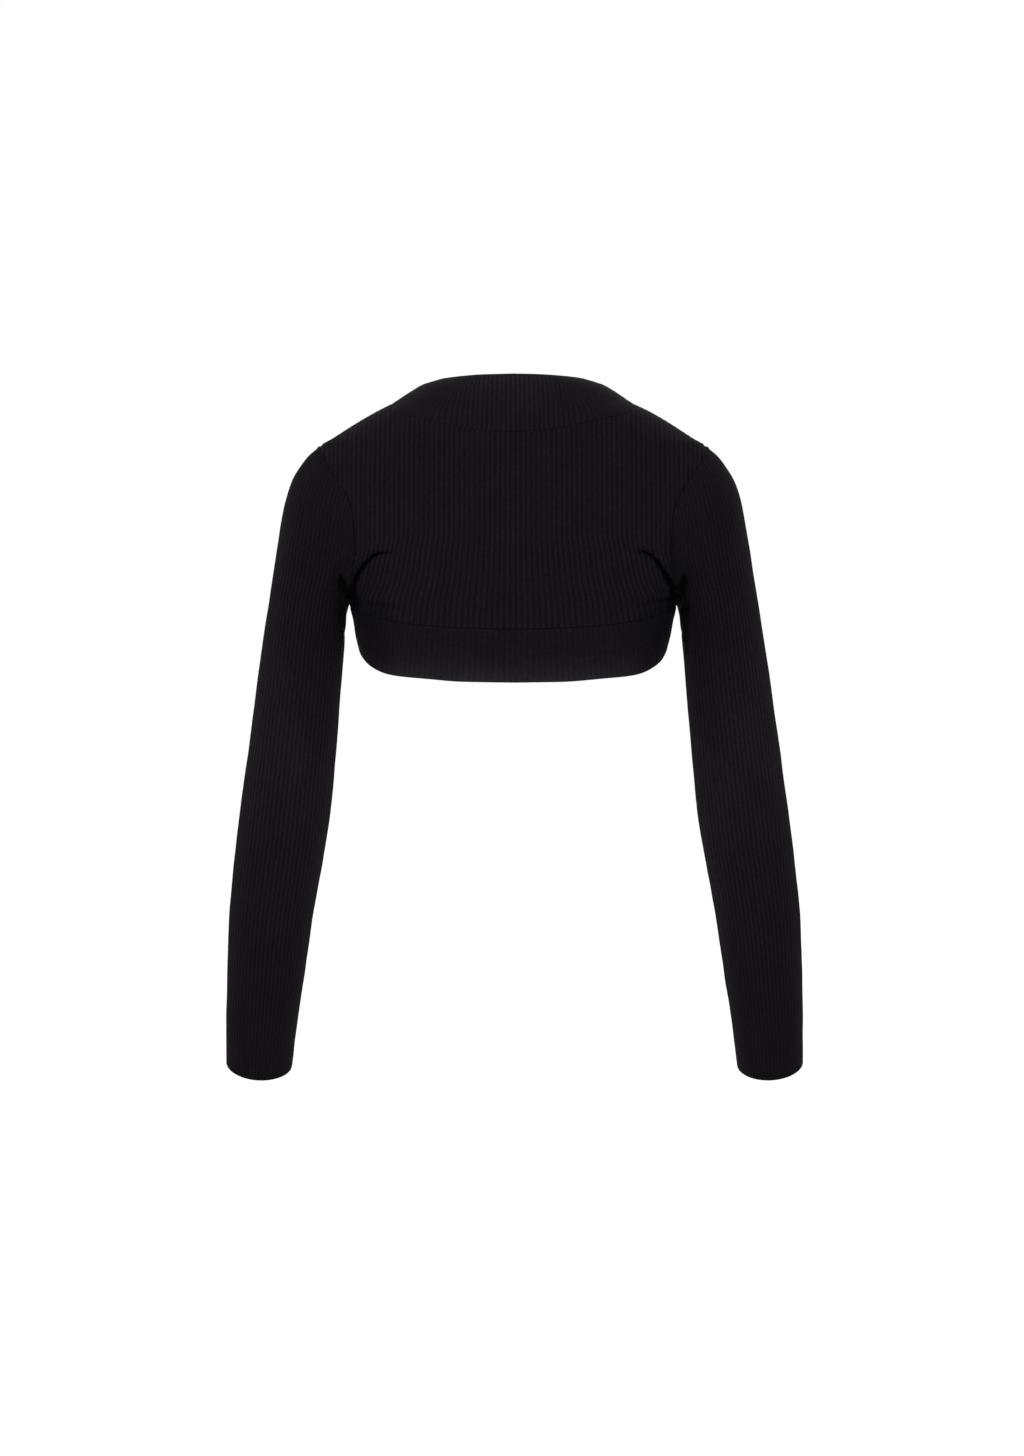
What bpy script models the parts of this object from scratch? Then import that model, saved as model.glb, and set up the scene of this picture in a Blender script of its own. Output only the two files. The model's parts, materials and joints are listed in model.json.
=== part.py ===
"""Cropped long-sleeved shrug in fine rib knit, worn and filled out, with no wearer inside.

The garment is a hollow wall of cloth. Its pieces are the ones that are cut and sewn: a back, two narrow
fronts, two sleeves and one doubled band that runs round the whole opening, over the neck, down the fronts
and along the back hem. Every piece is a grid of points on the outer face of the worn form, thickened
inwards. Metres, +Z up. The wearer faces +Y, so the back is towards -Y and the right sleeve towards +X.
The origin is midway between the shoulder seams, at the height of their middles.
"""

import math
from collections import defaultdict

import bpy
import numpy as np

# ---- Driving dimensions, metres and degrees ----
CLOTH = 0.0018  # one layer of rib knit
BAND_CLOTH = 0.0030  # the band is the same knit, folded double
SEAM_GAP = 0.0003  # between two pieces at a seam

BACK_COLUMNS = 16  # from the centre back to a side
COLUMN_CROWDING = 1.3  # above 1, the columns are closer together near the sides
FRONT_COLUMNS = 4  # across a front, and along its side seam and its shoulder seam
BAND_ROWS = 3  # across the band
CREASE_STEPS = 14  # straight runs that stand for one crease's line
CREASE_FADE = 0.012  # a crease reaches its full depth this far from the underarm point
SAME_PLACE = 1e-6  # points of two pieces this close are one point of their seam
LEVEL = 1e-5  # points this close in height count as level
SHARP_CORNER = -0.4  # where a rim turns back by more than this cosine, its shift grows no further
RIM_ANGLE = 40.0  # edges sharper than this are shaded sharp, degrees

NECK_POINT_Z = 0.0201  # where the band's seam crosses the top of the shoulder
SHOULDER_TIP_Z = -0.0201  # top of the armhole
UNDERARM_Z = -0.1656  # bottom of the armhole
SIDE_SEAM_END_Z = -0.1735  # where the short side seam meets the band

# The worn form's level sections: half an ellipse at the back and half at the front, on the same half width.
FORM_COLUMNS = ("height", "half_width", "back_depth", "front_depth")
FORM = (
    (-0.2520, 0.1420, 0.0985, 0.0905),
    (-0.2297, 0.1450, 0.1010, 0.0925),
    (-0.2153, 0.1474, 0.1025, 0.0940),
    (-0.2010, 0.1507, 0.1045, 0.0955),
    (-0.1866, 0.1531, 0.1065, 0.0970),
    (-0.1742, 0.1560, 0.1080, 0.0980),
    (-0.1656, 0.1569, 0.1090, 0.0985),
    (-0.1579, 0.1588, 0.1100, 0.0995),
    (-0.1435, 0.1680, 0.1115, 0.1005),
    (-0.1273, 0.1790, 0.1120, 0.1015),
    (-0.1110, 0.1866, 0.1115, 0.1010),
    (-0.0938, 0.1876, 0.1100, 0.0990),
    (-0.0718, 0.1880, 0.1055, 0.0950),
    (-0.0574, 0.1904, 0.1015, 0.0900),
    (-0.0450, 0.1909, 0.0970, 0.0855),
    (-0.0335, 0.1885, 0.0930, 0.0810),
    (-0.0201, 0.1833, 0.0885, 0.0745),
    (-0.0134, 0.1726, 0.0860, 0.0710),
    (-0.0019, 0.1544, 0.0820, 0.0660),
    (0.0096, 0.1352, 0.0780, 0.0600),
    (0.0201, 0.1146, 0.0745, 0.0550),
    (0.0268, 0.1045, 0.0730, 0.0530),
    (0.0325, 0.0958, 0.0712, 0.0510),
    (0.0383, 0.0852, 0.0698, 0.0490),
    (0.0412, 0.0745, 0.0690, 0.0480),
    (0.0440, 0.0665, 0.0680, 0.0470),
)

# The armhole, as the angle round the form from the centre back and from the centre front.
ARMHOLE_COLUMNS = ("height", "back_angle", "front_angle")
ARMHOLE = (
    (-0.1656, 90.0, 90.0),
    (-0.1622, 82.0, 82.0),
    (-0.1574, 74.5, 74.5),
    (-0.1502, 68.0, 67.3),
    (-0.1397, 61.6, 60.5),
    (-0.1263, 56.3, 55.3),
    (-0.1110, 53.2, 52.6),
    (-0.0919, 53.2, 52.8),
    (-0.0718, 56.0, 56.0),
    (-0.0536, 61.3, 62.0),
    (-0.0392, 68.3, 69.4),
    (-0.0287, 75.8, 77.0),
    (-0.0220, 84.0, 84.5),
    (-0.0201, 90.0, 90.0),
)

# The band on the right half, from the centre back neck over the shoulder, down the front, round the side
# and back to the centre of the hem: its seam and its folded edge, as angle from the centre back and height.
NECK_END, FRONT_END, HEM_END = 6, 18, 24
BAND_COLUMNS = ("station", "seam_angle", "seam_height", "edge_angle", "edge_height")
BAND = (
    (0, 0.0, -0.0124, 0.0, 0.0438),
    (1, 11.0, -0.0105, 15.0, 0.0437),
    (2, 22.0, -0.0053, 30.0, 0.0436),
    (3, 34.0, 0.0010, 45.0, 0.0432),
    (4, 47.0, 0.0057, 60.0, 0.0429),
    (5, 66.0, 0.0148, 75.0, 0.0426),
    (6, 90.0, 0.0201, 90.0, 0.0421),
    (7, 110.5, 0.0163, 110.0, 0.0396),
    (8, 130.6, 0.0010, 129.3, 0.0316),
    (9, 142.0, -0.0191, 143.9, 0.0163),
    (10, 145.7, -0.0431, 155.0, -0.0067),
    (11, 146.7, -0.0689, 161.0, -0.0383),
    (12, 146.8, -0.0909, 163.2, -0.0718),
    (13, 145.2, -0.1148, 163.7, -0.1053),
    (14, 140.0, -0.1349, 160.5, -0.1359),
    (15, 130.5, -0.1522, 152.5, -0.1627),
    (16, 117.5, -0.1636, 139.5, -0.1843),
    (17, 103.5, -0.1699, 121.0, -0.1990),
    (18, 90.0, -0.1735, 102.0, -0.2090),
    (19, 76.0, -0.1775, 88.0, -0.2162),
    (20, 62.0, -0.1837, 72.0, -0.2299),
    (21, 47.0, -0.1900, 54.0, -0.2402),
    (22, 32.0, -0.1943, 36.0, -0.2440),
    (23, 16.0, -0.1970, 18.0, -0.2472),
    (24, 0.0, -0.1981, 0.0, -0.2479),
)

# The right sleeve's rings, from the armhole to the cuff. Each is an ellipse through an outer and an inner
# point, tipped forward by pitch. hold is how far a ring still follows the armhole's own curve.
SLEEVE_COLUMNS = (
    "outer_x", "outer_z", "inner_x", "inner_z", "back_depth", "front_depth", "centre_y", "pitch", "hold",
)  # fmt: skip
SLEEVE = (
    (0.1833, -0.0201, 0.1569, -0.1656, 0.0665, 0.0605, 0.0000, 0.0, 1.00),
    (0.1948, -0.0296, 0.1572, -0.1694, 0.0650, 0.0600, 0.0000, 0.0, 0.80),
    (0.2035, -0.0405, 0.1573, -0.1727, 0.0635, 0.0590, 0.0000, 0.0, 0.58),
    (0.2120, -0.0550, 0.1575, -0.1761, 0.0620, 0.0575, 0.0000, 0.0, 0.38),
    (0.2175, -0.0730, 0.1582, -0.1799, 0.0600, 0.0560, -0.0005, 0.0, 0.22),
    (0.2215, -0.0928, 0.1589, -0.1837, 0.0580, 0.0545, -0.0010, 0.0, 0.11),
    (0.2247, -0.1139, 0.1592, -0.1885, 0.0560, 0.0530, -0.0015, 0.0, 0.04),
    (0.2282, -0.1359, 0.1598, -0.1943, 0.0540, 0.0515, -0.0020, 0.0, 0.00),
    (0.2320, -0.1589, 0.1606, -0.2019, 0.0515, 0.0500, -0.0030, 0.0, 0.00),
    (0.2357, -0.1837, 0.1617, -0.2134, 0.0490, 0.0480, -0.0040, 0.0, 0.00),
    (0.2398, -0.2105, 0.1630, -0.2278, 0.0475, 0.0470, -0.0050, 0.0, 0.00),
    (0.2457, -0.2530, 0.1655, -0.2600, 0.0460, 0.0460, -0.0070, 0.0, 0.00),
    (0.2519, -0.2995, 0.1688, -0.3015, 0.0450, 0.0450, -0.0085, 2.0, 0.00),
    (0.2603, -0.3589, 0.1742, -0.3608, 0.0440, 0.0440, -0.0070, 7.0, 0.00),
    (0.2641, -0.3876, 0.1783, -0.3905, 0.0435, 0.0435, -0.0020, 11.0, 0.00),
    (0.2682, -0.4163, 0.1836, -0.4192, 0.0425, 0.0425, 0.0055, 15.0, 0.00),
    (0.2746, -0.4718, 0.1945, -0.4750, 0.0400, 0.0400, 0.0240, 19.0, 0.00),
    (0.2778, -0.5311, 0.2040, -0.5350, 0.0372, 0.0372, 0.0445, 20.0, 0.00),
    (0.2797, -0.5720, 0.2108, -0.5759, 0.0352, 0.0352, 0.0585, 22.0, 0.00),
    (0.2806, -0.6154, 0.2168, -0.6192, 0.0335, 0.0335, 0.0730, 24.0, 0.00),
)

# Creases that the hanging arm presses into the cloth at the underarm. On the back they run from a start to
# an end, by way of a middle, given as angle from the centre back and height; side is +1 right, -1 left.
BACK_CREASE_COLUMNS = (
    "side", "start_angle", "start_z", "middle_angle", "middle_z", "end_angle", "end_z",
    "start_depth", "end_depth", "half_width",
)  # fmt: skip
BACK_CREASES = (
    (1, 80.0, -0.1680, 52.0, -0.1370, 40.0, -0.1195, 0.0075, 0.0012, 0.0050),
    (-1, 80.0, -0.1680, 53.0, -0.1360, 41.5, -0.1215, 0.0078, 0.0010, 0.0052),
    (1, 74.0, -0.1700, 60.0, -0.1700, 48.0, -0.1760, 0.0022, 0.0006, 0.0050),
    (-1, 76.0, -0.1715, 64.0, -0.1735, 56.0, -0.1775, 0.0024, 0.0008, 0.0048),
)
# On a sleeve they are given as ring number and degrees round from the outer side by way of the back.
SLEEVE_CREASE_COLUMNS = (
    "side", "start_ring", "start_turn", "middle_ring", "middle_turn", "end_ring", "end_turn",
    "start_depth", "end_depth", "half_width",
)  # fmt: skip
SLEEVE_CREASES = (
    (1, 2.0, 172.0, 4.0, 148.0, 5.0, 124.0, 0.0060, 0.0010, 0.0060),
    (-1, 2.0, 172.0, 4.2, 146.0, 5.5, 122.0, 0.0058, 0.0012, 0.0062),
    (1, 2.0, 188.0, 4.4, 214.0, 5.6, 238.0, 0.0055, 0.0010, 0.0060),
    (-1, 2.0, 188.0, 4.0, 212.0, 5.2, 236.0, 0.0058, 0.0008, 0.0058),
)

BLACK_KNIT = {"Base Color": (0.0135, 0.0122, 0.0142, 1.0), "Roughness": 0.9, "Metallic": 0.0}
BLACK_BAND = {"Base Color": (0.0150, 0.0136, 0.0156, 1.0), "Roughness": 0.88, "Metallic": 0.0}


# ---- Tables and curves ----
def columns(names, rows):
    """A table as {column name: array}."""
    return dict(zip(names, np.array(rows, float).T))


def slopes(keys, values):
    """A smooth curve's slope at each row, kept level at a peak so that the curve never overshoots."""
    steps = np.diff(keys)
    rises = np.diff(values) / steps
    inner = np.zeros(len(keys) - 2)
    same_way = rises[:-1] * rises[1:] > 0
    before = 2 * steps[1:] + steps[:-1]
    after = steps[1:] + 2 * steps[:-1]
    inner[same_way] = ((before + after)[same_way]) / (
        before[same_way] / rises[:-1][same_way] + after[same_way] / rises[1:][same_way]
    )
    return np.concatenate([rises[:1], inner, rises[-1:]])


def smooth(keys, values, at):
    """values at the places at, on a smooth curve through the rows of a table."""
    at = np.clip(at, keys[0], keys[-1])
    row = np.clip(np.searchsorted(keys, at, side="right") - 1, 0, len(keys) - 2)
    step = keys[row + 1] - keys[row]
    t = (at - keys[row]) / step
    slope = slopes(keys, values)
    return (
        (2 * t**3 - 3 * t**2 + 1) * values[row]
        + (t**3 - 2 * t**2 + t) * step * slope[row]
        + (3 * t**2 - 2 * t**3) * values[row + 1]
        + (t**3 - t**2) * step * slope[row + 1]
    )


def unit(vectors):
    """Vectors made one long."""
    return vectors / np.maximum(np.linalg.norm(vectors, axis=-1, keepdims=True), 1e-12)


def along(points):
    """How far along a line each of its points is, from 0 to 1."""
    run = np.concatenate([[0.0], np.cumsum(np.linalg.norm(np.diff(points, axis=0), axis=1))])
    return run / run[-1]


form = columns(FORM_COLUMNS, FORM)
armhole = columns(ARMHOLE_COLUMNS, ARMHOLE)
band = columns(BAND_COLUMNS, BAND)
sleeve = columns(SLEEVE_COLUMNS, SLEEVE)


# ---- The worn form ----
def on_form(angle, height):
    """Points on the outer face of the worn form. Angle is in degrees from the centre back, + to the right."""
    angle, height = np.broadcast_arrays(np.asarray(angle, float), np.asarray(height, float))
    turn = np.radians(angle)
    half_width = smooth(form["height"], form["half_width"], height)
    back = smooth(form["height"], form["back_depth"], height)
    front = smooth(form["height"], form["front_depth"], height)
    depth = np.where(np.cos(turn) > 0, back, front)
    return np.stack([half_width * np.sin(turn), -depth * np.cos(turn), height], axis=-1)


def band_line(station, which):
    """Angle and height of the band's seam or edge at a station on the right half."""
    return (
        smooth(band["station"], band[which + "_angle"], station),
        smooth(band["station"], band[which + "_height"], station),
    )


def armhole_loop():
    """The right armhole: up the back edge to the shoulder tip, then down the front edge, without its end."""
    back = on_form(armhole["back_angle"], armhole["height"])
    front = on_form(180.0 - armhole["front_angle"], armhole["height"])
    return np.concatenate([back, front[-2:0:-1]])


def side_seam():
    """Heights along the side seam, from the band up to the armhole."""
    return np.linspace(SIDE_SEAM_END_Z, UNDERARM_Z, FRONT_COLUMNS + 1)


def shoulder_seam():
    """Heights along the shoulder seam, from the tip to the neck point."""
    return np.linspace(SHOULDER_TIP_Z, NECK_POINT_Z, FRONT_COLUMNS + 1)


# ---- Grids of points for each piece's outer face ----
def back_grid():
    """The back: a row for each height at its side edge, a column for each place along the hem seam."""
    side_z = np.concatenate([side_seam()[:-1], armhole["height"], shoulder_seam()[1:]])
    straight = np.full(FRONT_COLUMNS, 90.0)
    side_angle = np.concatenate([straight, armhole["back_angle"], straight])
    share = (side_z - SIDE_SEAM_END_Z) / (NECK_POINT_Z - SIDE_SEAM_END_Z)
    place = back_places()
    hem_angle, hem_z = band_line(HEM_END - (HEM_END - FRONT_END) * place, "seam")
    neck_angle, neck_z = band_line(NECK_END * place, "seam")
    share = share[:, None]
    z = hem_z * (1 - share) + neck_z * share
    angle = (hem_angle * (1 - share) + neck_angle * share) / 90.0 * side_angle[:, None]
    right = on_form(angle, z)
    left = right[:, :0:-1] * (-1, 1, 1)
    return np.concatenate([left, right], axis=1)


def back_places():
    """Places of the right half's columns, from 0 at the centre back to 1 at the side."""
    return 1 - (1 - np.linspace(0, 1, BACK_COLUMNS + 1)) ** COLUMN_CROWDING


def front_stations():
    """The band's stations that the rows of a front end at, from the side seam to the shoulder seam."""
    edge = on_form(180.0 - armhole["front_angle"], armhole["height"])
    return FRONT_END - (FRONT_END - NECK_END) * along(edge)


def front_grid():
    """The right front: a row from the armhole to the band for each point of the armhole."""
    seam_angle, seam_z = band_line(front_stations(), "seam")
    across = np.linspace(0, 1, FRONT_COLUMNS + 1)
    edge_angle = (180.0 - armhole["front_angle"])[:, None]
    angle = edge_angle * (1 - across) + seam_angle[:, None] * across
    z = armhole["height"][:, None] * (1 - across) + seam_z[:, None] * across
    return on_form(angle, z)


def band_grid():
    """The band: a row of points from its seam to its edge for each place round the whole opening."""
    place = back_places()
    neck = NECK_END * place
    front = front_stations()[::-1]
    hem = HEM_END - (HEM_END - FRONT_END) * place[::-1]
    station = np.concatenate([neck, front[1:-1], hem])
    seam_angle, seam_z = band_line(station, "seam")
    edge_angle, edge_z = band_line(station, "edge")
    across = np.linspace(0, 1, BAND_ROWS + 1)
    angle = seam_angle[:, None] * (1 - across) + edge_angle[:, None] * across
    z = seam_z[:, None] * (1 - across) + edge_z[:, None] * across
    right = on_form(angle, z)
    left = right[-2:0:-1] * (-1, 1, 1)
    return np.concatenate([right, left])


def ring(number, turn):
    """Points of the right sleeve's ring of that number, at turn degrees from the outer side by the back."""
    rows = np.arange(len(SLEEVE), dtype=float)
    at = {name: smooth(rows, values, np.asarray(number, float)) for name, values in sleeve.items()}
    turn = np.radians(turn)
    outer = np.stack([at["outer_x"], 0 * at["outer_x"], at["outer_z"]], axis=-1)
    inner = np.stack([at["inner_x"], 0 * at["inner_x"], at["inner_z"]], axis=-1)
    reach = np.cos(turn)[..., None] * (outer - inner) / 2
    depth = np.where(np.sin(turn) > 0, at["back_depth"], at["front_depth"]) * np.sin(turn)
    tip = np.radians(at["pitch"])
    back = np.stack([0 * depth, at["centre_y"] - depth * np.cos(tip), -depth * np.sin(tip)], axis=-1)
    return (outer + inner) / 2 + reach + back


def sleeve_turns():
    """The turn at each point of the armhole loop."""
    middle = (UNDERARM_Z + SHOULDER_TIP_Z) / 2
    half = (SHOULDER_TIP_Z - UNDERARM_Z) / 2
    turn = np.degrees(np.arccos(np.clip((armhole["height"] - middle) / half, -1, 1)))
    return np.concatenate([turn, 360.0 - turn[-2:0:-1]])


def sleeve_grid():
    """The right sleeve: a row for each ring, a column for each point of the armhole loop."""
    turns = sleeve_turns()
    loop = armhole_loop()
    bend = loop - ring(0.0, turns)
    rings = [ring(float(k), turns) + hold * bend for k, hold in enumerate(sleeve["hold"])]
    return np.array(rings)


# ---- Creases ----
def crease_line(start, middle, end, place_of):
    """Points along a crease, on a curve through its three places."""
    t = np.linspace(0, 1, CREASE_STEPS + 1)[:, None]
    control = 2 * np.array(middle) - (np.array(start) + np.array(end)) / 2
    flat = (1 - t) ** 2 * np.array(start) + 2 * t * (1 - t) * control + t**2 * np.array(end)
    return place_of(flat[:, 0], flat[:, 1])


def crease_lines():
    """Every crease as (its points, its depth at each point, its half width)."""
    found = []
    for names, rows, place_of in (
        (BACK_CREASE_COLUMNS, BACK_CREASES, on_form),
        (SLEEVE_CREASE_COLUMNS, SLEEVE_CREASES, ring),
    ):
        for row in rows:
            crease = dict(zip(names, row))
            ends = row[1:3], row[3:5], row[5:7]
            points = crease_line(*ends, place_of) * (crease["side"], 1, 1)
            depth = np.linspace(crease["start_depth"], crease["end_depth"], CREASE_STEPS + 1)
            found.append((points, depth, crease["half_width"]))
    return found


def crease_depth(points, creases):
    """How far the creases press each point in."""
    deep = np.zeros(len(points))
    underarm = np.array((smooth(form["height"], form["half_width"], UNDERARM_Z), 0.0, UNDERARM_Z))
    for line, depth, half_width in creases:
        start, run = line[:-1], np.diff(line, axis=0)
        offset = points[:, None] - start
        t = np.clip((offset * run).sum(-1) / (run * run).sum(-1), 0, 1)
        away = np.linalg.norm(offset - t[..., None] * run, axis=-1)
        near = away.argmin(axis=1)
        which = np.arange(len(points))
        t, away = t[which, near], away[which, near]
        here = depth[near] * (1 - t) + depth[near + 1] * t
        deep = np.maximum(deep, here * np.exp(-((away / half_width) ** 2)))
    to_right = points * np.where(points[:, :1] < 0, (-1, 1, 1), (1, 1, 1))
    fade = np.clip(np.linalg.norm(to_right - underarm, axis=1) / CREASE_FADE, 0, 1)
    return deep * fade * fade * (3 - 2 * fade)


# ---- Pieces: grids, walls and seams ----
class Piece:
    """A grid of points on the outer face. loop says that its rows, or its columns, close on themselves."""

    def __init__(self, name, grid, thickness, loop=None):
        self.name = name
        self.shape = grid.shape[:2]
        self.points = grid.reshape(-1, 3).copy()
        self.thickness = thickness
        rows, count = self.shape
        index = np.arange(rows * count).reshape(rows, count)
        if loop == "rows":
            index = np.concatenate([index, index[:, :1]], axis=1)
        if loop == "columns":
            index = np.concatenate([index, index[:1]])
        self.index = index
        self.quads = np.stack(
            [index[:-1, :-1], index[:-1, 1:], index[1:, 1:], index[1:, :-1]], axis=-1
        ).reshape(-1, 4)
        self.face_outwards()

    def face_outwards(self):
        """Turns the faces so that they look away from the garment's inside."""
        corners = self.points[self.quads]
        normal = np.cross(corners[:, 2] - corners[:, 0], corners[:, 3] - corners[:, 1])
        middle = corners.mean(axis=1)
        inside = middle * (0, 0, 1)
        if self.name.startswith("sleeve"):
            rings = self.points.reshape(*self.shape, 3)
            centres = np.repeat(rings.mean(axis=1), self.shape[1], axis=0)
            inside = centres[: len(middle)]
        if ((middle - inside) * normal).sum() < 0:
            self.quads = self.quads[:, (0, 3, 2, 1)]

    def normals(self):
        """The outer face's normal at each point."""
        corners = self.points[self.quads]
        normal = np.cross(corners[:, 2] - corners[:, 0], corners[:, 3] - corners[:, 1])
        total = np.zeros_like(self.points)
        for corner in range(4):
            np.add.at(total, self.quads[:, corner], normal)
        return unit(total)

    def rim(self):
        """The rim's edges, each in the direction of its face."""
        ends = np.concatenate([self.quads[:, [k, (k + 1) % 4]] for k in range(4)])
        known = {(a, b) for a, b in ends.tolist()}
        return [(a, b) for a, b in ends.tolist() if (b, a) not in known]

    def rim_directions(self):
        """For each of the rim's edges, the direction along the cloth, square to it, into the piece."""
        normals = self.normals()
        for a, b in self.rim():
            yield a, b, unit(np.cross(normals[a] + normals[b], self.points[b] - self.points[a]))


def mirrored(grid):
    """The left piece's grid for a right piece's."""
    return grid * (-1, 1, 1)


def make_pieces():
    """Every piece of the garment, as grids on one surface whose seams share their points."""
    front, arm = front_grid(), sleeve_grid()
    return [
        Piece("back", back_grid(), CLOTH),
        Piece("front_right", front, CLOTH),
        Piece("front_left", mirrored(front), CLOTH),
        Piece("sleeve_right", arm, CLOTH, loop="rows"),
        Piece("sleeve_left", mirrored(arm), CLOTH, loop="rows"),
        Piece("band", band_grid(), BAND_CLOTH, loop="columns"),
    ]


def seam_points(pieces):
    """For each piece, the number of the place that each of its points has, alike where pieces meet."""
    places = np.concatenate([np.round(piece.points / SAME_PLACE).astype(int) for piece in pieces])
    number = np.unique(places, axis=0, return_inverse=True)[1].reshape(-1)
    ends = np.cumsum([len(piece.points) for piece in pieces])
    return dict(zip([piece.name for piece in pieces], np.split(number, ends[:-1])))


def share_normals(pieces, place):
    """Each piece's normals, with those of pieces that meet at a seam averaged."""
    total = np.zeros((1 + max(numbers.max() for numbers in place.values()), 3))
    for piece in pieces:
        np.add.at(total, place[piece.name], piece.normals())
    return {piece.name: unit(total[place[piece.name]]) for piece in pieces}


def seam_shifts(pieces, place):
    """How each point moves so that pieces that meet at a seam stand SEAM_GAP apart."""
    edges = defaultdict(list)
    for piece in pieces:
        number = place[piece.name]
        for a, b, way in piece.rim_directions():
            edges[frozenset((number[a], number[b]))].append((piece.name, a, b, way))
    pushes = defaultdict(list)
    for sides in edges.values():
        if len(sides) == 2:
            apart = unit(sides[0][3] - sides[1][3])
            for (name, a, b, _), push in zip(sides, (apart, -apart)):
                pushes[name, a].append(push)
                pushes[name, b].append(push)
    shifts = {piece.name: np.zeros_like(piece.points) for piece in pieces}
    for (name, number), found in pushes.items():
        first, last = found[0], found[-1]
        shifts[name][number] = (first + last) / (1 + max(first @ last, SHARP_CORNER)) * SEAM_GAP / 2
    return shifts


def height_first(point):
    """A key that puts points in order of height, then depth, then width, alike on both sides of a seam."""
    return tuple(np.round(point[::-1] / LEVEL))


def rim_faces(piece, count):
    """The rim's triangles. Both pieces at a seam split a run of rim along the same diagonal."""
    faces = []
    for a, b in piece.rim():
        if height_first(piece.points[a]) > height_first(piece.points[b]):
            faces += [(b, a, count + a), (b, count + a, count + b)]
        else:
            faces += [(b, a, count + b), (a, count + a, count + b)]
    return faces


def wall(piece, normals, shift):
    """The piece as a closed wall: its outer face, its inner face and its rim."""
    outer = piece.points + shift
    inner = outer - normals * piece.thickness
    count = len(outer)
    faces = piece.quads.tolist() + (count + piece.quads[:, (0, 3, 2, 1)]).tolist()
    return np.concatenate([outer, inner]), faces + rim_faces(piece, count)


# ---- Blender objects ----
def knit_material(name, values):
    """A Principled material."""
    material = bpy.data.materials.new(name)
    material.use_nodes = True
    shader = material.node_tree.nodes["Principled BSDF"]
    for socket, value in values.items():
        shader.inputs[socket].default_value = value
    return material


def add_object(name, points, faces, material):
    """A smooth-shaded object with sharp rims."""
    mesh = bpy.data.meshes.new(name)
    mesh.from_pydata(points.tolist(), [], faces)
    mesh.validate()
    mesh.materials.append(material)
    mesh.shade_smooth()
    mesh.set_sharp_from_angle(angle=math.radians(RIM_ANGLE))
    thing = bpy.data.objects.new(name, mesh)
    bpy.context.collection.objects.link(thing)
    return thing


def clear_scene():
    """Removes what the scene starts with."""
    for thing in list(bpy.data.objects):
        bpy.data.objects.remove(thing, do_unlink=True)


def main():
    """Builds the shrug."""
    clear_scene()
    pieces = make_pieces()
    creases = crease_lines()
    place = seam_points(pieces)
    normals = share_normals(pieces, place)
    for piece in pieces:
        deep = crease_depth(piece.points, creases)
        piece.points -= normals[piece.name] * deep[:, None]
    normals = share_normals(pieces, place)
    shifts = seam_shifts(pieces, place)
    panel = knit_material("rib_knit", BLACK_KNIT)
    doubled = knit_material("rib_band", BLACK_BAND)
    for piece in pieces:
        points, faces = wall(piece, normals[piece.name], shifts[piece.name])
        add_object(piece.name, points, faces, doubled if piece.name == "band" else panel)


main()
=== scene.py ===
"""Cropped long-sleeved shrug in fine rib knit, worn and filled out, with no wearer inside.

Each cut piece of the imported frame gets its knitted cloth: a thin closed shell on the same worn form, with the
folds that hanging arms press into it, raised ribs, rolled seam edges and overlocked seams inside. Metres,
+Z up. The wearer faces +Y, so the back is towards -Y and the right sleeve towards +X.
"""

import functools
import json
import math

import bpy
import numpy as np
from bpy.props import FloatProperty, FloatVectorProperty, IntProperty, PointerProperty
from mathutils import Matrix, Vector
from mathutils.kdtree import KDTree


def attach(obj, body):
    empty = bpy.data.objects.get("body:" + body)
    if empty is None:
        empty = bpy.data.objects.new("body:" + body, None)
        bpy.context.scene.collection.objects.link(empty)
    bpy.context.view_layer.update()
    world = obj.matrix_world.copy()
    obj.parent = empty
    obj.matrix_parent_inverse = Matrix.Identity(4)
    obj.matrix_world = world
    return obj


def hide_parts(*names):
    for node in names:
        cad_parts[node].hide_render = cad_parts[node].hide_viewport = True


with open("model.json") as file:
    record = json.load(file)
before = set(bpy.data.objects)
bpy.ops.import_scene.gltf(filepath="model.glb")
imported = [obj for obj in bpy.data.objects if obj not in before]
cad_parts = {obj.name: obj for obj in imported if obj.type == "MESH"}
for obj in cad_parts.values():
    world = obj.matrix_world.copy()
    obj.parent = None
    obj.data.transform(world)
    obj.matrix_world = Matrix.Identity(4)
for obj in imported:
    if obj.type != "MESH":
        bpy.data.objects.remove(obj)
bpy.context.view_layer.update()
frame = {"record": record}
FINISH = {finish["slot"]: finish["base_color"] for finish in frame["record"]["materials"]}

bl_info = {
    "name": "Rib Knit Shrug",
    "version": (1, 0, 0),
    "blender": (4, 5, 0),
    "location": "View3D > Sidebar > Shrug",
    "description": "Builds a rib knit shrug's cloth and seams over its frame, and its studio",
    "category": "Add Mesh",
}

MM = 0.001  # one millimetre in metres

# ---- The worn form, as the frame has it ----
NECK_POINT_Z = 0.0201  # where the band's seam crosses the top of the shoulder
SHOULDER_TIP_Z = -0.0201  # top of the armhole
UNDERARM_Z = -0.1656  # bottom of the armhole
SIDE_SEAM_END_Z = -0.1735  # where the short side seam meets the band

SHOULDER_SOFT = 0.018  # over the shoulder blades the width is evened out over this height, up and down
BLADE_ANGLES = (30, 75)  # between these angles from the centre that evening fades out

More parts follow.
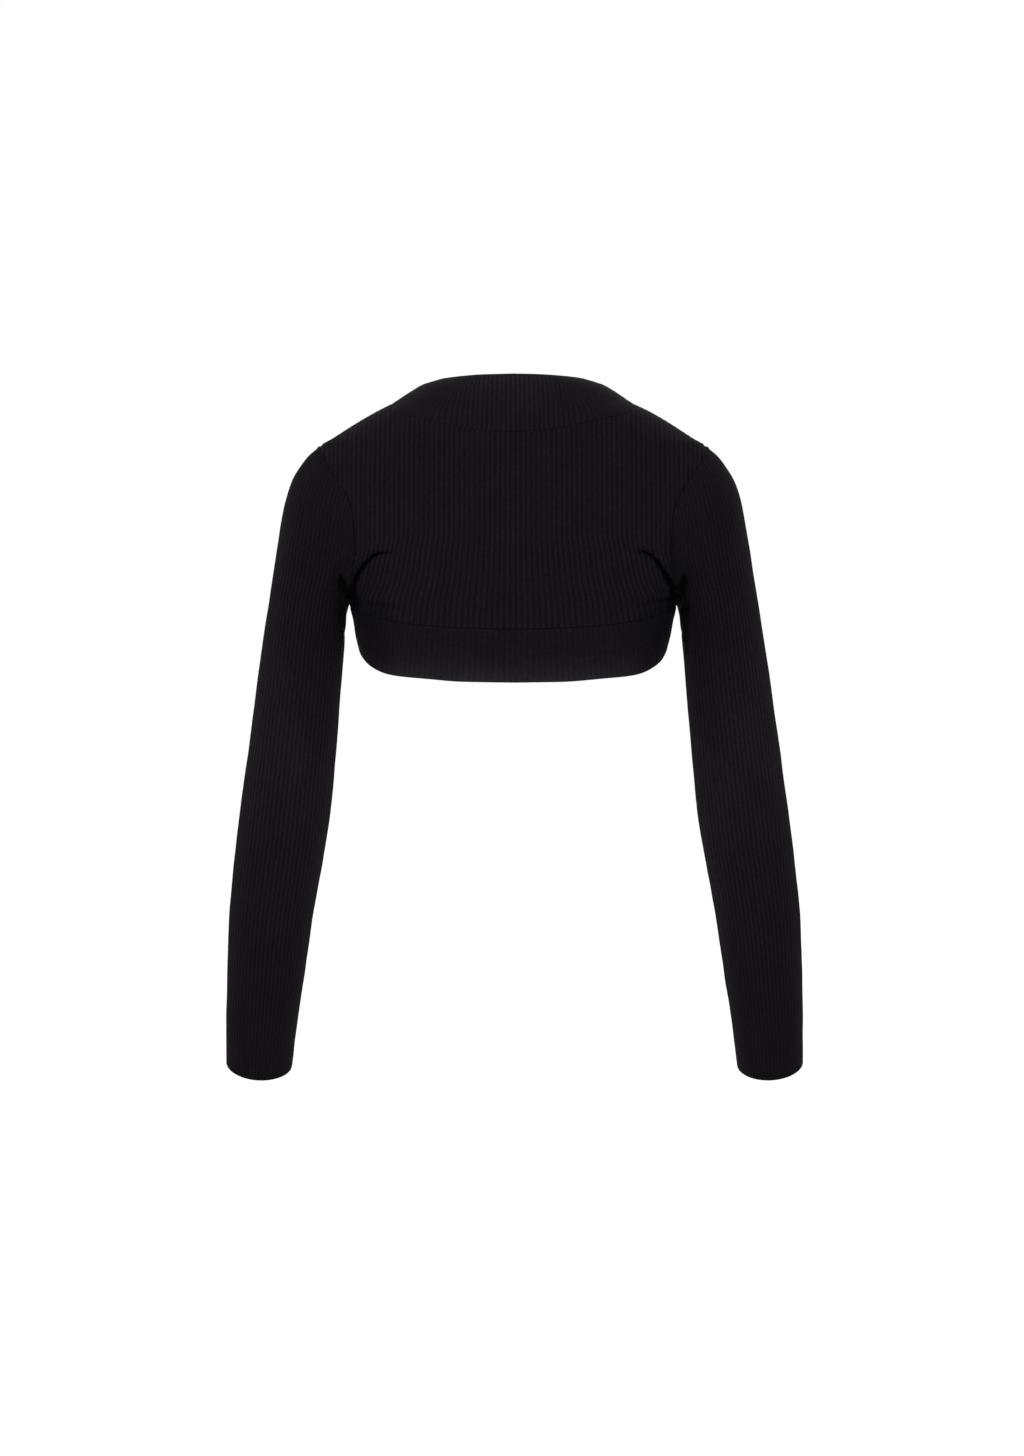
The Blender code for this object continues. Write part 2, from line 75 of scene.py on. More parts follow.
# Level sections: half an ellipse at the back and half at the front, on the same half width.
FORM_COLUMNS = ("height", "half_width", "back_depth", "front_depth")
FORM = (
    (-0.2520, 0.1420, 0.0985, 0.0905),
    (-0.2297, 0.1450, 0.1010, 0.0925),
    (-0.2153, 0.1474, 0.1025, 0.0940),
    (-0.2010, 0.1507, 0.1045, 0.0955),
    (-0.1866, 0.1531, 0.1065, 0.0970),
    (-0.1742, 0.1560, 0.1080, 0.0980),
    (-0.1656, 0.1569, 0.1090, 0.0985),
    (-0.1579, 0.1588, 0.1100, 0.0995),
    (-0.1435, 0.1680, 0.1115, 0.1005),
    (-0.1273, 0.1790, 0.1120, 0.1015),
    (-0.1110, 0.1866, 0.1115, 0.1010),
    (-0.0938, 0.1876, 0.1100, 0.0990),
    (-0.0718, 0.1880, 0.1055, 0.0950),
    (-0.0574, 0.1904, 0.1015, 0.0900),
    (-0.0450, 0.1909, 0.0970, 0.0855),
    (-0.0335, 0.1885, 0.0930, 0.0810),
    (-0.0201, 0.1833, 0.0885, 0.0745),
    (-0.0134, 0.1726, 0.0860, 0.0710),
    (-0.0019, 0.1544, 0.0820, 0.0660),
    (0.0096, 0.1352, 0.0780, 0.0600),
    (0.0201, 0.1146, 0.0745, 0.0550),
    (0.0268, 0.1045, 0.0730, 0.0530),
    (0.0325, 0.0958, 0.0712, 0.0510),
    (0.0383, 0.0852, 0.0698, 0.0490),
    (0.0412, 0.0745, 0.0690, 0.0480),
    (0.0440, 0.0665, 0.0680, 0.0470),
)

# The armhole, as the angle round the form from the centre back and from the centre front.
ARMHOLE_COLUMNS = ("height", "back_angle", "front_angle")
ARMHOLE = (
    (-0.1656, 90.0, 90.0),
    (-0.1622, 82.0, 82.0),
    (-0.1574, 74.5, 74.5),
    (-0.1502, 68.0, 67.3),
    (-0.1397, 61.6, 60.5),
    (-0.1263, 56.3, 55.3),
    (-0.1110, 53.2, 52.6),
    (-0.0919, 53.2, 52.8),
    (-0.0718, 56.0, 56.0),
    (-0.0536, 61.3, 62.0),
    (-0.0392, 68.3, 69.4),
    (-0.0287, 75.8, 77.0),
    (-0.0220, 84.0, 84.5),
    (-0.0201, 90.0, 90.0),
)

# The band on the right half, from the centre back neck over the shoulder, down the front, round the side and
# back to the centre of the hem: its seam and its folded edge, as angle from the centre back and height.
NECK_END, FRONT_END, HEM_END = 6, 18, 24
BAND_COLUMNS = ("station", "seam_angle", "seam_height", "edge_angle", "edge_height")
BAND = (
    (0, 0.0, -0.0124, 0.0, 0.0438),
    (1, 11.0, -0.0105, 15.0, 0.0437),
    (2, 22.0, -0.0053, 30.0, 0.0436),
    (3, 34.0, 0.0010, 45.0, 0.0432),
    (4, 47.0, 0.0057, 60.0, 0.0429),
    (5, 66.0, 0.0148, 75.0, 0.0426),
    (6, 90.0, 0.0201, 90.0, 0.0421),
    (7, 110.5, 0.0163, 110.0, 0.0396),
    (8, 130.6, 0.0010, 129.3, 0.0316),
    (9, 142.0, -0.0191, 143.9, 0.0163),
    (10, 145.7, -0.0431, 155.0, -0.0067),
    (11, 146.7, -0.0689, 161.0, -0.0383),
    (12, 146.8, -0.0909, 163.2, -0.0718),
    (13, 145.2, -0.1148, 163.7, -0.1053),
    (14, 140.0, -0.1349, 160.5, -0.1359),
    (15, 130.5, -0.1522, 152.5, -0.1627),
    (16, 117.5, -0.1636, 139.5, -0.1843),
    (17, 103.5, -0.1699, 121.0, -0.1990),
    (18, 90.0, -0.1735, 102.0, -0.2090),
    (19, 76.0, -0.1775, 88.0, -0.2162),
    (20, 62.0, -0.1837, 72.0, -0.2299),
    (21, 47.0, -0.1900, 54.0, -0.2402),
    (22, 32.0, -0.1943, 36.0, -0.2440),
    (23, 16.0, -0.1970, 18.0, -0.2472),
    (24, 0.0, -0.1981, 0.0, -0.2479),
)

# The right sleeve's rings, from the armhole to the cuff. Each is an ellipse through an outer and an inner
# point, tipped forward by pitch. hold is how far a ring still follows the armhole's own curve.
SLEEVE_COLUMNS = (
    "outer_x", "outer_z", "inner_x", "inner_z", "back_depth", "front_depth", "centre_y", "pitch", "hold",
)  # fmt: skip
SLEEVE = (
    (0.1833, -0.0201, 0.1569, -0.1656, 0.0665, 0.0605, 0.0000, 0.0, 1.00),
    (0.1948, -0.0296, 0.1572, -0.1694, 0.0650, 0.0600, 0.0000, 0.0, 0.80),
    (0.2035, -0.0405, 0.1573, -0.1727, 0.0635, 0.0590, 0.0000, 0.0, 0.58),
    (0.2120, -0.0550, 0.1575, -0.1761, 0.0620, 0.0575, 0.0000, 0.0, 0.38),
    (0.2175, -0.0730, 0.1582, -0.1799, 0.0600, 0.0560, -0.0005, 0.0, 0.22),
    (0.2215, -0.0928, 0.1589, -0.1837, 0.0580, 0.0545, -0.0010, 0.0, 0.11),
    (0.2247, -0.1139, 0.1592, -0.1885, 0.0560, 0.0530, -0.0015, 0.0, 0.04),
    (0.2282, -0.1359, 0.1598, -0.1943, 0.0540, 0.0515, -0.0020, 0.0, 0.00),
    (0.2320, -0.1589, 0.1606, -0.2019, 0.0515, 0.0500, -0.0030, 0.0, 0.00),
    (0.2357, -0.1837, 0.1617, -0.2134, 0.0490, 0.0480, -0.0040, 0.0, 0.00),
    (0.2398, -0.2105, 0.1630, -0.2278, 0.0475, 0.0470, -0.0050, 0.0, 0.00),
    (0.2457, -0.2530, 0.1655, -0.2600, 0.0460, 0.0460, -0.0070, 0.0, 0.00),
    (0.2519, -0.2995, 0.1688, -0.3015, 0.0450, 0.0450, -0.0085, 2.0, 0.00),
    (0.2603, -0.3589, 0.1742, -0.3608, 0.0440, 0.0440, -0.0070, 7.0, 0.00),
    (0.2641, -0.3876, 0.1783, -0.3905, 0.0435, 0.0435, -0.0020, 11.0, 0.00),
    (0.2682, -0.4163, 0.1836, -0.4192, 0.0425, 0.0425, 0.0055, 15.0, 0.00),
    (0.2746, -0.4718, 0.1945, -0.4750, 0.0400, 0.0400, 0.0240, 19.0, 0.00),
    (0.2778, -0.5311, 0.2040, -0.5350, 0.0372, 0.0372, 0.0445, 20.0, 0.00),
    (0.2797, -0.5720, 0.2108, -0.5759, 0.0352, 0.0352, 0.0585, 22.0, 0.00),
    (0.2806, -0.6154, 0.2168, -0.6192, 0.0335, 0.0335, 0.0730, 24.0, 0.00),
)

# ---- The knit ----
BACK_PITCH = 0.00479  # between the back's ribs at its centre
BACK_CLOSER = 0.066  # how much closer its ribs lie by its armholes
ARMHOLE_X = 0.149  # how far out those are
ROUND_SIDE = ((52, 70), (-0.10, -0.13))  # between these angles and heights ribs come to go by length
BACK_FLARE = ((-0.2000, 1.19), (-0.1720, 1.144), (-0.1580, 1.097), (-0.1435, 1.06), (-0.1290, 1.037),
              (-0.1110, 1.0), (0.0201, 1.0))  # fmt: skip
"""By height, how much wider apart the back's ribs are stretched."""
ROWS_CLOSER = 0.35  # how much closer than even the back's rows lie at its hem
COLUMNS_CLOSER = 0.25  # how much closer than even its columns lie at its centre
STEADY_ROWS = 0.7  # up to this share of the back's height its rows rise steadily, and then ever slower
WIDTH_ROWS = (0.4, 1.0)  # between these shares of its rows its columns come to spread like its top edge
ANGLE_HEIGHTS = (-0.125, -0.155)  # between these heights at its side they come to follow angle, not width
SETTLED_ROWS = (0.5, 0.8)  # between these shares of its rows its grid comes to be evened out
SETTLING = 1500  # rounds in which it evens out
NECK_ROLL, NECK_ROLL_END = 0.25, 0.004  # the share that its top edge rolls in by, and how far in that holds

FRONT_PITCH = 0.0047  # between a front's ribs
CHEST_Z = -0.0718  # the height at which they are counted

SLEEVE_HALF = ((-0.1656, 0.0381), (-0.1574, 0.0392), (-0.1500, 0.0398), (-0.1200, 0.0400), (-0.0200, 0.0400))
"""By height, half the width that the sleeve's ribs would have if they ran on over the cap to the neck."""
LEVEL_RINGS = (7.5, 11.0)  # between these rings a rib comes to keep its place in the ring
EVEN_SHARE = 0.05  # how much of an even spacing round the sleeve its ribs always have
CAP_ROWS = (0.0, 0.0004, 0.0009, 0.0016)  # the first rows of faces, down from the sleeve's seam
CAP_FINER = 0.38  # how far apart the next rows are, as a share of those farther down
CAP_LENGTH = (0.06, 0.16)  # how far down that fades out
HEM_ROWS = (0.0085, 0.0070, 0.0060, 0.0053, 0.0047, 0.0040, 0.0028, 0.0016, 0.0009, 0.00045, 0.00013, 0.0)
"""The last rows of faces, up from the cuff's edge."""
CAP_RIDGE = (0.0028, 0.0017, 0.0009)  # how far below its seam the sleeve swells, how widely and how high
CUFF_LINE = (0.0050, 0.0006, -0.0004)  # the same of the cuff's stitched line, up from its edge
UNDER_SEAM = (0.0, 0.0008, -0.0008)  # and of the sleeve's own seam
CAP_FIRM, CAP_FIRM_END = 0.62, (0.05, 0.14)  # how high the ribs stand at the armhole, and where that fades out
CUFF_FLAT, CUFF_FLAT_END = 0.3, (0.17, 0.04)  # how much lower they stand at the cuff, and where that sets in
CUFF_SWAY = 0.0016  # both cuffs hang this far to the wearer's right
SLEEVE_SHADE = ((0, 0.0), (0.19, 0.10), (0.27, 0.0), (0.43, -0.26), (0.62, -0.04), (0.77, 0.10), (1, 0.18))
# By share of a sleeve's length, how much darker or, below 0, lighter its colour is painted: painted light,
# lighter part way down and darker near the armhole and towards the cuff.
"""By share of a sleeve's length, how much darker or, below 0, lighter its dye is."""

BAND_PITCH = ((0, 0.00440), (6, 0.0047), (18, 0.0050), (21, 0.0054), (24, 0.0054))
"""By station, the distance between the band's ribs."""
BAND_FIRM = ((0, 1.0, 0.2), (1.4, 0.85, 0.2), (2.4, 0.5, 0.2), (3.5, 0.38, 0.2), (6, 0.45, 0.4), (9, 0.9, 0.9),
             (17, 0.7, 1.0), (20, 0.34, 0.8), (24, 0.32, 0.6))  # fmt: skip
"""By station, how high the band's ribs stand and how deep its seam is."""
BAND_ROWS = (0, 0.008, 0.018, 0.032, 0.055, 0.09, 0.17, 0.27, 0.38, 0.50, 0.61, 0.72, 0.82, 0.90, 0.945, 0.971,
             0.986, 0.996, 1)  # fmt: skip
"""Its rows of faces, as shares of the way from its seam to its folded edge."""
UPRIGHT, UPRIGHT_END = 0.85, (1.0, 3.2)  # how upright its ribs stand behind the neck, and where that fades out
EDGE_LIGHT = ((0, 1.0), (3, 0.9), (16, 0.9), (20, 1.6), (24, 1.8))
# By station, how much lighter the band's colour is painted along its folded edge: a painted highlight,
# strongest along the hem.
"""By station, how much lighter the band is along its folded edge."""

SEAM_GAP = 0.0003  # between two pieces at a seam
SEAM_TUCK = 0.002  # how far in from its edge a piece is moved to leave that gap
SEAM_ROLL = 0.0008  # radius that a sewn edge rolls in by
SEAM_BLEND = 0.010  # how far in from a seam the two pieces share their facing
SEAM_EASE = 0.006  # how far along a seam that facing is evened out
CLOSED_WITHIN = 0.003  # a seam whose ends are closer than this is a closed one
RIB_FADE = 0.0028  # ribs reach their full height this far from a seam
EDGE_FADE, EDGE_LIFT = 0.005, 0.25  # and this far from a free edge, where this share of it is left
INNER_LIFT = 0.6  # how high the ribs stand on the inner face, as a share
INNER_STEP = 4  # where the cloth lies smooth, the inner face keeps one row of points in this many
INNER_EDGES = (5, 7)  # but it keeps this many rows at its start and at its end
CREASED = 0.0004  # cloth that its creases move farther than this isn't smooth

CREASE_REACH = 0.012  # how far past the armhole a crease still pulls on the next piece
SWELL_PLACE, SWELL_WIDTH = 2.1, 0.9  # where the cloth swells beside a crease, in widths of its slope
PINCH = 0.7  # how far a crease that is all sharp draws its sides together

# Painted shade: where the cloth's colour is darkened in the armpit's hollow, on cloth facing across the gap
# under the arm, on the body's side beside it and deep in folds.
PIT_X, PIT_Z = 0.1575, -0.1650  # the middle of the right armpit's dark hollow
PIT_SIDE, PIT_UP, PIT_DOWN = 0.0080, 0.0092, 0.0130  # how far it reaches to each side, up and down
PIT_LENGTH, PIT_END = 0.030, 0.009  # how far it runs to the front and to the back, and its ends' reach
PIT_EDGE = (2.2, 0.9)  # between these shares of its reach it comes to full dark
GAP_Z = (-0.158, -0.166)  # from here down, cloth that faces across the gap under the arm is dark
GAP_FACING = {"arm": 0.80, "body": 0.90}  # how squarely it has to face across
GAP_LOW, GAP_EDGE = -0.178, 0.12  # below this height it has to be squarer, and how softly the dark sets in
BODY_Z, BODY_FACING, BODY_DARK = (-0.160, -0.175), (0.52, 0.80), 0.3  # the same of the body's side, less dark
FOLD_DEPTH = (0.0025, 0.0049)  # from this depth to that a fold comes to full dark
NEAR_PIT, FOLD_DARKER = 0.045, 1.2  # within this of the armpit folds count as deeper, by this share

OVERLOCK_RADIUS = 0.0010  # the bound seam allowance inside
OVERLOCK_WIDE, OVERLOCK_THICK = 1.25, 0.8  # its half width and half thickness, in those radii
OVERLOCK_DEPTH = 0.0027  # how far below the outer face it runs
OVERLOCK_DEEPER = 0.3  # how much deeper, as a share, it runs in a sleeve's cap
OVERLOCK_END = 0.002  # how far short of an open seam's end it stops
CAP_Z, CAP_WIDE = (-0.150, -0.130), 0.9  # where a sleeve's cap begins, going up, and how wide it is there
PIT_WIDTH_Z, PIT_WIDE = (-0.138, -0.152), 2.1  # where it widens, going down, and how wide it is under the arm
THREAD_RADIUS, LOOP_ROUND = 0.00022, 1.15  # of its thread, and of the loops round it, in radii of the allowance
STITCH_LEAN = 0.35  # how much those loops lean

CURVE_STEPS = 600  # points that stand for one curve while distances are measured along it
ARMHOLE_POINTS = 240  # points that stand for an armhole while distances from it are measured
AT_ONCE = 4000  # points measured at a time, which spares memory

# Creases that the hanging arms press into the cloth, in millimetres. Each row: the side, the surface that its
# places are on, the places from start to end with the depth at each, the width of the slope below and above
# the crease, the height of the swelling below and above it, and how sharp its bottom is. On the form a place is
# the angle from the centre back and the height. On a sleeve it is the ring and the turn from the outer side by
# way of the back.
CREASES = (
    (1, "form", ((79.0, -159.5, 0.4), (73.0, -156.0, 3.0), (65.9, -150.9, 6.4), (59.7, -144.7, 8.0),
                 (54.3, -138.4, 7.6), (49.8, -132.1, 6.7), (45.8, -127.0, 5.6), (42.4, -124.8, 4.2),
                 (39.6, -124.4, 2.6), (35.4, -124.7, 1.2), (31.0, -125.6, 0.0)), 4.6, 2.6, 1.3, 1.2, 0.6),
    (-1, "form", ((80.0, -159.0, 0.4), (74.0, -155.0, 3.0), (66.5, -149.6, 6.4), (61.0, -144.0, 7.8),
                  (56.0, -138.3, 7.4), (50.7, -132.1, 6.7), (46.9, -127.8, 5.8), (43.5, -126.1, 4.4),
                  (39.5, -126.1, 2.8), (35.6, -127.5, 1.2), (31.5, -130.0, 0.0)), 4.8, 2.7, 1.2, 1.2, 0.6),
    (1, "form", ((76.0, -167.0, 0.0), (66.0, -167.8, 2.2), (57.0, -170.5, 2.8), (50.0, -174.2, 2.4),
                 (44.0, -178.0, 0.0)), 3.0, 2.6, 0.7, 1.0, 0.4),
    (-1, "form", ((72.0, -171.2, 0.0), (63.0, -172.2, 2.0), (55.0, -173.8, 2.7), (48.0, -175.8, 2.4),
                  (42.0, -178.5, 0.0)), 3.0, 2.6, 0.7, 1.0, 0.4),
    (-1, "form", ((66.0, -180.0, 0.0), (57.0, -183.5, 1.4), (50.0, -187.2, 1.4), (43.0, -191.5, 0.0)),
     4.0, 3.6, 0.3, 0.6, 0.2),
    (1, "form", ((72.0, -174.5, 0.0), (63.0, -177.2, 1.2), (54.0, -182.0, 0.0)), 4.0, 3.6, 0.3, 0.6, 0.2),
    (1, "form", ((101.0, -159.6, 0.4), (107.0, -154.5, 2.8), (114.0, -148.0, 5.2), (123.0, -140.5, 3.6),
                 (134.0, -136.0, 0.0)), 4.4, 2.8, 1.1, 1.1, 0.5),
    (-1, "form", ((100.0, -159.2, 0.4), (106.0, -153.8, 2.8), (113.0, -146.5, 5.0), (124.0, -140.0, 3.2),
                  (136.0, -137.5, 0.0)), 4.6, 3.0, 1.1, 1.1, 0.5),
    (1, "sleeve", ((1.0, 164.0, 4.8), (2.0, 150.0, 5.6), (2.4, 134.0, 3.6), (2.0, 114.0, 0.0)),
     6.6, 5.4, 0.6, 0.8, 0.3),
    (-1, "sleeve", ((1.0, 164.0, 4.8), (2.1, 150.0, 5.4), (2.6, 132.0, 3.4), (2.3, 110.0, 0.0)),
     6.8, 5.4, 0.6, 0.8, 0.3),
    (1, "sleeve", ((3.0, 168.0, 2.0), (4.6, 152.0, 3.0), (5.6, 138.0, 1.8), (6.4, 120.0, 0.0)),
     7.0, 6.0, 0.4, 0.6, 0.1),
    (-1, "sleeve", ((3.0, 168.0, 2.0), (4.8, 154.0, 3.0), (6.0, 138.0, 1.8), (6.9, 122.0, 0.0)),
     7.0, 6.0, 0.4, 0.6, 0.1),
    (1, "sleeve", ((1.0, 196.0, 4.0), (2.1, 210.0, 5.4), (3.0, 226.0, 3.8), (3.2, 246.0, 0.0)),
     6.0, 4.8, 0.8, 1.0, 0.4),
    (-1, "sleeve", ((1.0, 196.0, 4.0), (2.0, 212.0, 5.2), (2.8, 228.0, 3.6), (3.4, 248.0, 0.0)),
     6.0, 5.0, 0.8, 1.0, 0.4),
    (1, "sleeve", ((3.4, 190.0, 1.8), (5.2, 206.0, 3.0), (6.6, 222.0, 2.0), (7.4, 244.0, 0.0)),
     7.0, 6.0, 0.4, 0.6, 0.1),
    (-1, "sleeve", ((3.4, 190.0, 1.8), (5.0, 206.0, 3.0), (6.2, 224.0, 2.0), (7.1, 246.0, 0.0)),
     7.0, 6.0, 0.4, 0.6, 0.1),
    (1, "sleeve", ((13.1, 214.0, 0.0), (13.6, 240.0, 2.2), (13.7, 272.0, 2.6), (13.3, 306.0, 0.0)),
     5.8, 4.8, 0.6, 0.8, 0.2),
    (1, "sleeve", ((14.5, 206.0, 0.0), (14.4, 236.0, 2.4), (14.6, 268.0, 2.2), (15.0, 300.0, 0.0)),
     6.0, 5.0, 0.6, 0.8, 0.2),
    (-1, "sleeve", ((13.0, 210.0, 0.0), (13.4, 236.0, 2.0), (13.8, 268.0, 2.6), (13.7, 300.0, 0.0)),
     6.0, 4.8, 0.6, 0.8, 0.2),
    (-1, "sleeve", ((14.8, 212.0, 0.0), (14.6, 244.0, 2.4), (14.6, 276.0, 2.0), (14.9, 306.0, 0.0)),
     5.8, 5.0, 0.6, 0.8, 0.2),
    (1, "sleeve", ((13.6, 54.0, 0.0), (14.2, 84.0, 1.1), (14.0, 116.0, 0.0)), 8.0, 6.5, 0.2, 0.3, 0.0),
    (-1, "sleeve", ((14.3, 44.0, 0.0), (13.9, 74.0, 1.2), (14.3, 108.0, 0.0)), 8.0, 6.5, 0.2, 0.3, 0.0),
    (1, "sleeve", ((17.2, 196.0, 0.0), (17.0, 230.0, 1.3), (17.3, 262.0, 0.0)), 7.5, 6.0, 0.3, 0.3, 0.0),
    (-1, "sleeve", ((16.9, 204.0, 0.0), (17.2, 236.0, 1.2), (17.1, 270.0, 0.0)), 7.5, 6.0, 0.3, 0.3, 0.0),
)  # fmt: skip


# ---- Tables and curves ----
def columns(names, rows):
    """A table as {column name: array}."""
    return dict(zip(names, np.array(rows, float).T))


def slopes(keys, values):
    """A smooth curve's slope at each row, kept level at a peak so that the curve never overshoots."""
    steps = np.diff(keys)
    rises = np.diff(values) / steps
    inner = np.zeros(len(keys) - 2)
    same_way = rises[:-1] * rises[1:] > 0
    before = 2 * steps[1:] + steps[:-1]
    after = steps[1:] + 2 * steps[:-1]
    inner[same_way] = ((before + after)[same_way]) / (
        before[same_way] / rises[:-1][same_way] + after[same_way] / rises[1:][same_way]
    )
    return np.concatenate([rises[:1], inner, rises[-1:]])


def smooth(keys, values, at):
    """values at the places at, on a smooth curve through the rows of a table."""
    at = np.clip(at, keys[0], keys[-1])
    row = np.clip(np.searchsorted(keys, at, side="right") - 1, 0, len(keys) - 2)
    step = keys[row + 1] - keys[row]
    t = (at - keys[row]) / step
    slope = slopes(keys, values)
    return (
        (2 * t**3 - 3 * t**2 + 1) * values[row]
        + (t**3 - 2 * t**2 + t) * step * slope[row]
        + (3 * t**2 - 2 * t**3) * values[row + 1]
        + (t**3 - t**2) * step * slope[row + 1]
    )


def unit(vectors):
    """Vectors made one long."""
    return vectors / np.maximum(np.linalg.norm(vectors, axis=-1, keepdims=True), 1e-12)


def eased(value, start=0.0, end=1.0):
    """0 at start and 1 at end, with level ends."""
    share = np.clip((value - start) / (end - start), 0, 1)
    return share * share * (3 - 2 * share)


def looked_up(rows, at):
    """The second column of a table at the places at in its first, on a smooth curve."""
    return smooth(*np.array(rows, float).T, at)


def ridge(away, place, width, height):
    """How high a soft ridge stands at the distances away, with its top at the distance place."""
    return height * np.exp(-(((away - place) / width) ** 2))


def run_along(points):
    """Distance along a line, or down each column of a grid, from its first point."""
    steps = np.linalg.norm(np.diff(points, axis=0), axis=-1)
    return np.concatenate([np.zeros_like(steps[:1]), np.cumsum(steps, axis=0)])


form = columns(FORM_COLUMNS, FORM)
armhole = columns(ARMHOLE_COLUMNS, ARMHOLE)
band = columns(BAND_COLUMNS, BAND)
sleeve = columns(SLEEVE_COLUMNS, SLEEVE)
ARMHOLE_MIDDLE = (UNDERARM_Z + SHOULDER_TIP_Z) / 2
ARMHOLE_HALF = (SHOULDER_TIP_Z - UNDERARM_Z) / 2


def on_form(angle, height):
    """Points on the outer face of the worn form. Angle is in degrees from the centre back, + to the right."""
    angle, height = np.broadcast_arrays(np.asarray(angle, float), np.asarray(height, float))
    turn = np.radians(angle)
    half_width, back, front = (smooth(form["height"], form[name], height) for name in FORM_COLUMNS[1:])
    steps = np.linspace(-SHOULDER_SOFT, SHOULDER_SOFT, 7)
    even_width = np.mean([smooth(form["height"], form["half_width"], height + step) for step in steps], axis=0)
    inward = 1 - eased(np.minimum(abs(angle), 180 - abs(angle)), *BLADE_ANGLES)
    half_width = half_width + ridge(height, SHOULDER_TIP_Z, SHOULDER_SOFT, inward * (even_width - half_width))
    depth = np.where(np.cos(turn) > 0, back, front)
    return np.stack([half_width * np.sin(turn), -depth * np.cos(turn), height], axis=-1)


def band_line(station, which):
    """Angle and height of the band's seam or edge at a station on the right half."""
    return (
        smooth(band["station"], band[which + "_angle"], station),
        smooth(band["station"], band[which + "_height"], station),
    )


def armhole_place(turn):
    """Angle and height of the right armhole at a turn from the shoulder tip, by the back, in degrees."""
    turn = np.mod(turn, 360.0)
    down = np.where(turn > 180, 360 - turn, turn)
    rows = (armhole["height"][::-1] - ARMHOLE_MIDDLE) / ARMHOLE_HALF
    keys = np.degrees(np.arccos(np.clip(rows, -1, 1)))
    back = smooth(keys, armhole["back_angle"][::-1], down)
    front = 180 - smooth(keys, armhole["front_angle"][::-1], down)
    height = ARMHOLE_MIDDLE + ARMHOLE_HALF * np.cos(np.radians(down))
    return np.where(turn > 180, front, back), height


def ring(number, turn):
    """Points of the right sleeve's ring of that number, at turn degrees from the outer side by the back."""
    rows = np.arange(len(SLEEVE), dtype=float)
    at = {name: smooth(rows, values, np.asarray(number, float)) for name, values in sleeve.items()}
    turn = np.radians(turn)
    outer = np.stack([at["outer_x"], 0 * at["outer_x"], at["outer_z"]], axis=-1)
    inner = np.stack([at["inner_x"], 0 * at["inner_x"], at["inner_z"]], axis=-1)
    reach = np.cos(turn)[..., None] * (outer - inner) / 2
    depth = np.where(np.sin(turn) > 0, at["back_depth"], at["front_depth"]) * np.sin(turn)
    tip = np.radians(at["pitch"])
    back = np.stack([0 * depth, at["centre_y"] - depth * np.cos(tip), -depth * np.sin(tip)], axis=-1)
    return (outer + inner) / 2 + reach + back


def on_sleeve(number, turn):
    """Points on the right sleeve, whose first rings still follow the armhole."""
    number, turn = np.broadcast_arrays(np.asarray(number, float), np.asarray(turn, float))
    bend = on_form(*armhole_place(turn)) - ring(np.zeros_like(turn), turn)
    hold = smooth(np.arange(len(SLEEVE), dtype=float), sleeve["hold"], number)
    return ring(number, turn) + hold[..., None] * bend


# ---- Cut pieces as grids ----
class Cut:
    """A cut piece's outer face as a grid. Its ribs run along its columns; rib counts them across its rows."""

    def __init__(self, name, points, rib, thickness, closed=False, free_end=False):
        self.name = name
        self.points = points
        self.rib = np.broadcast_to(rib, points.shape[:2])
        self.course = run_along(points)
        self.thickness = thickness
        self.closed = closed
        self.free_end = free_end
        self.raised = np.zeros(points.shape[:2])
        self.firm = np.ones(points.shape[:2])
        self.roll = np.full(points.shape[:2], SEAM_ROLL)
        self.moved = np.zeros(points.shape[:2])
        # Painted shade on each point's colour, 1 darkest, and a painted highlight along a folded edge; both are
        # set later.
        self.shade = np.zeros(points.shape[:2])
        self.light = 0.0
        self.sign = 1.0
        middle = points * (0, 0, 1)
        if name.startswith("sleeve"):
            middle = points.mean(axis=1, keepdims=True)
        if ((points - middle) * self.facing()).sum() < 0:
            self.sign = -1.0
        self.measure_edges()

    def facing(self):
        """Unit normals of the grid."""
        down = np.gradient(self.points, axis=0)
        if self.closed:
            across = np.roll(self.points, -1, axis=1) - np.roll(self.points, 1, axis=1)
        else:
            across = np.gradient(self.points, axis=1)
        return unit(np.cross(across, down)) * self.sign

    def edges(self):
        """The sewn edges, as {name: (index of the edge in the grid, distance of every point from it)}."""
        return {name: found for name, found in self.measured.items() if name != "free"}

    def measure_edges(self):
        """Measures how far every point is from each edge."""
        down = run_along(self.points)
        self.measured = {"start": (np.s_[:1], down)}
        self.measured["free" if self.free_end else "end"] = (np.s_[-1:], down[-1:] - down)
        if not self.closed:
            across = run_along(self.points.swapaxes(0, 1)).swapaxes(0, 1)
            self.measured["left"] = (np.s_[:, :1], across)
            self.measured["right"] = (np.s_[:, -1:], across[:, -1:] - across)

    def nearest_sewn(self):
        """Every point's distance from its nearest sewn edge."""
        return np.min([away for _, away in self.edges().values()], axis=0)

    def down(self):
        """How far down its column every point is, 0 to 1."""
        return self.measured["start"][1] / self.measured["start"][1].max()


def fine_ends(values, shares=(0.3, 0.65)):
    """A row of places with more of them next to each end."""
    first = values[0] + (values[1] - values[0]) * np.array(shares)
    last = values[-1] + (values[-2] - values[-1]) * np.array(shares[::-1])
    return np.concatenate([values[:1], first, values[1:-1], last, values[-1:]])


def back_ribs(points, angle):
    """The rib count along each row of the right half of the back, from its centre line."""
    middle = (points[:, 1:] + points[:, :-1]) / 2
    step = np.diff(points, axis=1)
    angles, heights = ROUND_SIDE
    round_side = eased((angle[:, 1:] + angle[:, :-1]) / 2, *angles) * eased(middle[..., 2], *heights)
    length = np.linalg.norm(step, axis=-1) * round_side + step[..., 0] * (1 - round_side)
    closer = 1 + BACK_CLOSER * (middle[..., 0] / ARMHOLE_X) ** 2
    steps = length * closer / (BACK_PITCH * looked_up(BACK_FLARE, middle[..., 2]))
    return np.concatenate([np.zeros_like(steps[:, :1]), np.cumsum(steps, axis=1)], axis=1)


